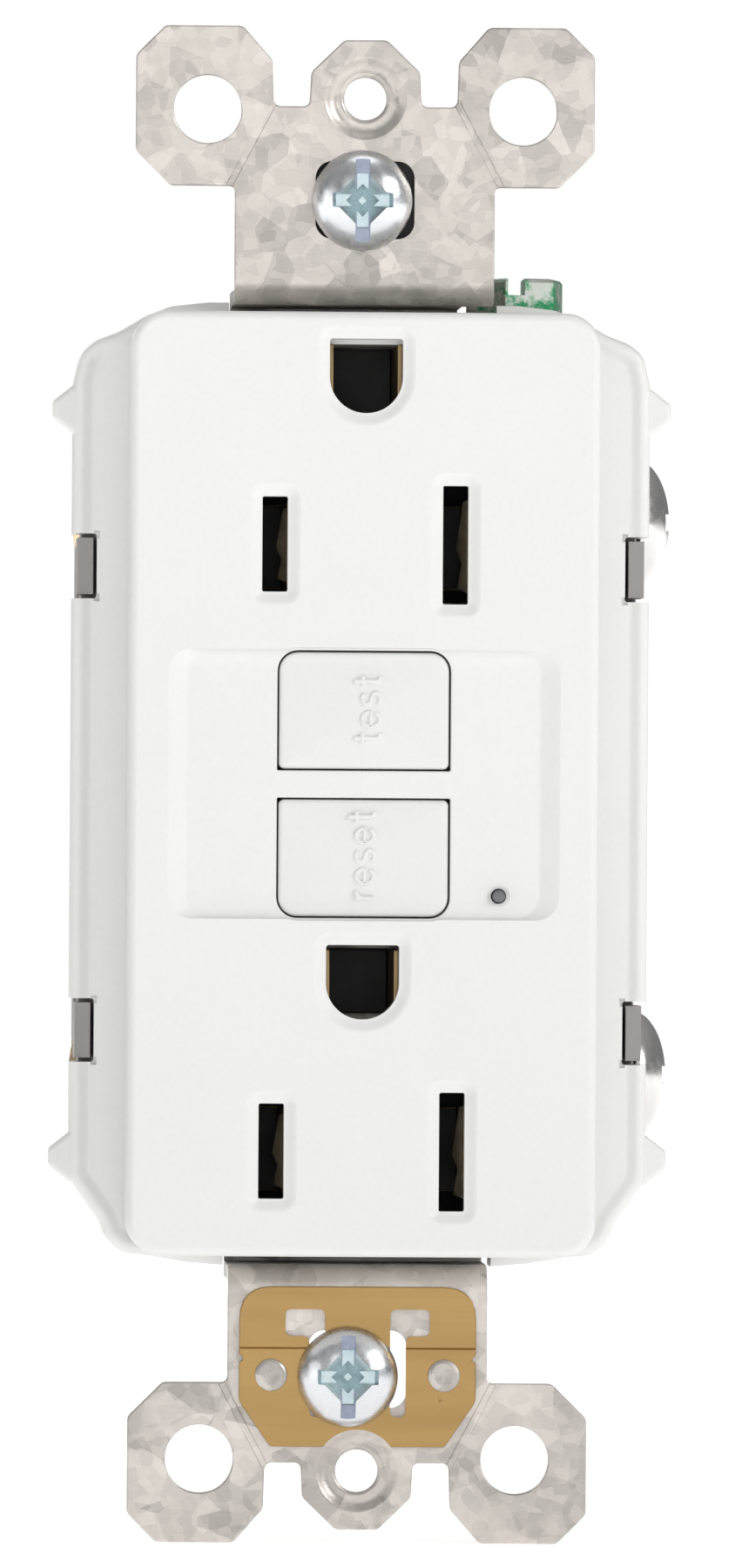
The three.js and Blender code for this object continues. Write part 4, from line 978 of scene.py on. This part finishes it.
def terminal_screw(end, side_name):
    node = f"{end}_{side_name}_screw"
    low, high = span(node)
    side = -1 if side_name == "hot" else 1
    outer, tip = (low.x, high.x) if side < 0 else (high.x, low.x)
    seat = outer - side * TERMINAL_HIGH
    at = ((low.y + high.y) / 2, (low.z + high.z) / 2)
    head = dome(TERMINAL_RADIUS, TERMINAL_HIGH, seat, side, 0.45)
    head += [(1.85, seat), (TERMINAL_THREAD[0], seat - side * 0.25)]
    screw = screw_body(node, head, seat - side * 0.3, tip, TERMINAL_THREAD, at, "x")
    for deep, half_y, half_z in ((1.1, TERMINAL_SLOT_HALF, 6), (1.3, 2.3, TERMINAL_SLOT_HALF)):
        cut(screw, block(sorted((outer - side * deep, outer + side)), (at[0] - half_y, at[0] + half_y),
                         (at[1] - half_z, at[1] + half_z)))
    finish, slot_name = (SCREW_BRASS, "screw_brass") if side < 0 else (CHROMED, "screw_steel")
    piece(screw, node + "_body", node, [finish], [node], 30)


def ground_screw():
    low, high = span("ground_screw")
    x, y = GROUND_AT
    seat = high.z - HEX_HIGH
    rows = [(TINY, high.z), (0.86, high.z), (0.95, high.z - 0.08), (1.0, high.z - 0.3), (1.0, seat + 0.05),
            (0.97, seat)]
    corner = HEX_FLATS / math.sqrt(3)
    turn = [math.radians(HEX_TURN + 60 * k) for k in range(6)]
    hexagon = loft("tool", [[axis_point("z", GROUND_AT, r * corner, a, s) for a in turn] for r, s in rows])
    bevelled(hexagon, 0.18, 3)
    radius = GROUND_THREAD[0]
    shank = screw_body("tool", [(0, seat + 0.4), (radius, seat + 0.4), (radius, seat)], seat - 0.05, low.z,
                       GROUND_THREAD, GROUND_AT, "z", COARSE)
    added(hexagon, shank)
    cut(hexagon, block((x - HEX_SLOT_HALF, x + HEX_SLOT_HALF), (y - 5, y + 5), (high.z - 1.2, high.z + 1)))
    piece(hexagon, "ground_screw_body", "ground_screw", [GREEN], ["ground_screw"], 30)


# ---- rear body
def back_body():
    body = copied("back_body", "back_body")
    for vertex in body.data.vertices:
        if SKIRT_Y < vertex.co.y < SKIRT_Y + SEAM_GAP:
            vertex.co.y = SKIRT_Y + 0.03  # the seam closes up to a hairline
        elif BAY_FRONT - 0.1 < vertex.co.y < BAY_FRONT + 0.05:
            vertex.co.y = BAY_FRONT + 0.25  # the bay's wall meets the edge of the terminal plate
    bevelled(body, 0.22)
    piece(body, "back_body_shell", "housing", [BODY_GREY], ["back_body"], 35)


# ---- pieces that keep their CAD shape
def dressed(node, finish):
    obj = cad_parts[node]
    obj.data.materials.clear()
    obj.data.materials.append(finish)
    weld = obj.modifiers.new("weld", "WELD")
    weld.merge_threshold = 1e-7
    flat = obj.modifiers.new("flat", "DECIMATE")
    flat.decimate_type = "DISSOLVE"
    flat.angle_limit = FLAT_ANGLE
    edge_bevel(obj, 0.1 * MM, 2, 50)
    weighted = obj.modifiers.new("normals", "WEIGHTED_NORMAL")
    weighted.keep_sharp = True


TERMINALS = [(end, side_name) for end in ("upper", "lower") for side_name in ("hot", "neutral")]
PLAIN = [
    (INNER_DARK_AND_PAINTED_SHADE, "inner_plastic", ["middle_separator", "upper_screw_retainer", "latch_block", "sensor_case",
                                   "control_chip", "thyristor"]),
    (BOBBIN, "inner_plastic", ["solenoid_bobbin"]),
    (CONTACT_BRASS, "contact_brass", ["upper_ground_contact", "lower_ground_contact", "hot_face_contacts",
                                      "neutral_face_contacts", "hot_line_bar", "neutral_line_bar"]),
    (CONTACT_BRASS, "contact_brass", [f"{end}_{side_name}_terminal_plate" for end, side_name in TERMINALS]),
    (COPPER, "contact_copper", ["test_contact", "hot_contact_arm", "neutral_contact_arm"]),
    (WINDING, "contact_copper", ["solenoid_winding", "fault_sensor_core", "neutral_sensor_core"]),
    (SPRING, "spring_steel", ["reset_pin", "solenoid_plunger"]),
    (ZINC_PLAIN, "strap_steel", ["latch_plate", "solenoid_frame"]),
    (SCREW_BRASS, "screw_brass", ["upper_hot_clamp_plate", "lower_hot_clamp_plate"]),
    (SCREW_STEEL, "screw_steel", ["upper_neutral_clamp_plate", "lower_neutral_clamp_plate"]),
    (BOARD, "board_laminate", ["circuit_board"]),
    (BLUE, "component_blue", ["surge_absorber", "filter_capacitor"]),
    (CLEAR, "clear_plastic", ["light_pipe", "indicator_lamp"]),
]
for finish, slot, nodes in PLAIN:
    for node in nodes:
        dressed(node, finish)


# ---- springs
def coil_spring(node, body):
    """A spring's coil in its CAD shape, on the given body."""
    coil = piece(copied(node, "tool"), f"{node}_coil", body, [SPRING], [node], 60)
    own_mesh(coil)


coil_spring("test_spring", "housing")
coil_spring("reset_spring", "housing")
coil_spring("latch_spring", "latch_block")

front_cover()
button(1, "test_button", "test_button", "test", (0.47, 5.26))
button(-1, "reset_button", "reset_button", "reset", (0.1, -4.98))
inside_openings()
mounting_strap()
ground_clip()
for end, (x, z) in MOUNTING_SCREWS.items():
    mounting_screw(end, x, z)
for end, side_name in TERMINALS:
    terminal_screw(end, side_name)
ground_screw()
back_body()


# ---- studio
LAMPS = {  # place in metres, size in metres and power in watts
    "key": ((1.05, -0.75, 0.55), 0.5, 6.3),
    "front": ((-0.2, -1.75, 0.45), 1.2, 5.0),
    "left": ((-1.2, -0.7, 0.1), 0.7, 1.9),
    "top": ((0.1, -0.1, 1.4), 0.8, 2.2),
    "back": ((-0.5, 1.5, 0.7), 1.1, 7.0),
}
SKY = ((0.0, (0.42, 0.42, 0.43, 1)), (0.75, (0.8, 0.8, 0.8, 1)))  # from below to above
FLOOR_HALF = 3.2
FLOOR_GAP = 0.00002


def studio():
    scene = bpy.context.scene
    scene.view_settings.view_transform = "Standard"
    world = bpy.data.worlds.new("studio")
    scene.world = world
    world.use_nodes = True
    tree = world.node_tree
    tree.nodes.clear()
    place = wire(tree, "ShaderNodeTexCoord").outputs["Generated"]
    height = wire(tree, "ShaderNodeSeparateXYZ", {0: place}).outputs["Z"]
    ramp = wire(tree, "ShaderNodeValToRGB", {"Fac": height})
    for element, (position, colour) in zip(ramp.color_ramp.elements, SKY):
        element.position = position
        element.color = colour
    light = wire(tree, "ShaderNodeBackground", {"Color": ramp.outputs["Color"], "Strength": 0.42}).outputs[0]
    white = wire(tree, "ShaderNodeBackground", {"Color": (1, 1, 1, 1), "Strength": 1.05}).outputs[0]
    seen = wire(tree, "ShaderNodeLightPath").outputs["Is Camera Ray"]
    mix = wire(tree, "ShaderNodeMixShader", {0: seen, 1: light, 2: white}).outputs[0]
    wire(tree, "ShaderNodeOutputWorld", {"Surface": mix})

    for name, (where, size, power) in LAMPS.items():
        lamp = bpy.data.lights.new(name, "AREA")
        lamp.size = size
        lamp.energy = power
        holder = linked(name, lamp)
        holder.location = where
        holder.rotation_mode = "QUATERNION"
        holder.rotation_quaternion = (-Vector(where)).to_track_quat("-Z", "Y")

    bm = bmesh.new()
    corners = ((-1, -1), (1, -1), (1, 1), (-1, 1))
    bm.faces.new([bm.verts.new((x * FLOOR_HALF, y * FLOOR_HALF, cad_low.z - FLOOR_GAP)) for x, y in corners])
    floor = made("studio_floor", bm)
    # The floor glows as painted light: 0.55 within 8 cm of the object so contact shadows stay, rising to full
    # at half a metre so the far floor stays white.
    f = Finish("studio_floor")
    reach = f.node("ShaderNodeVectorMath", {0: f.place}, operation="LENGTH").outputs["Value"]
    f.set(Base_Color=f.mixed(f.noise(6, 2), (0.90, 0.90, 0.90), (0.93, 0.93, 0.93)), Roughness=0.8,
          Emission_Color=(1.0, 1.0, 1.0), Emission_Strength=f.spread(reach, 0.55, 1.0, 0.08, 0.5))
    floor.data.materials.append(f.material)


CAMERA_TARGET = Vector((0.00024, -0.0065, 0.00003))
CAMERA_AZIMUTH, CAMERA_ELEVATION, CAMERA_ROLL = -2.2, -0.25, 0.38  # degrees
CAMERA_DISTANCE = 1.15


def camera():
    azimuth, elevation, roll = (math.radians(a) for a in (CAMERA_AZIMUTH, CAMERA_ELEVATION, CAMERA_ROLL))
    back = Vector((math.sin(azimuth) * math.cos(elevation), -math.cos(azimuth) * math.cos(elevation),
                   math.sin(elevation)))
    data = bpy.data.cameras.new("camera")
    data.lens = 376
    data.sensor_width = 36
    data.clip_start, data.clip_end = 0.05, 20
    holder = linked("camera", data)
    holder.location = CAMERA_TARGET + back * CAMERA_DISTANCE
    holder.rotation_mode = "QUATERNION"
    rolled = Matrix.Rotation(roll, 3, "Z").to_quaternion()
    holder.rotation_quaternion = (-back).to_track_quat("-Z", "Y") @ rolled
    bpy.context.scene.camera = holder


studio()
camera()
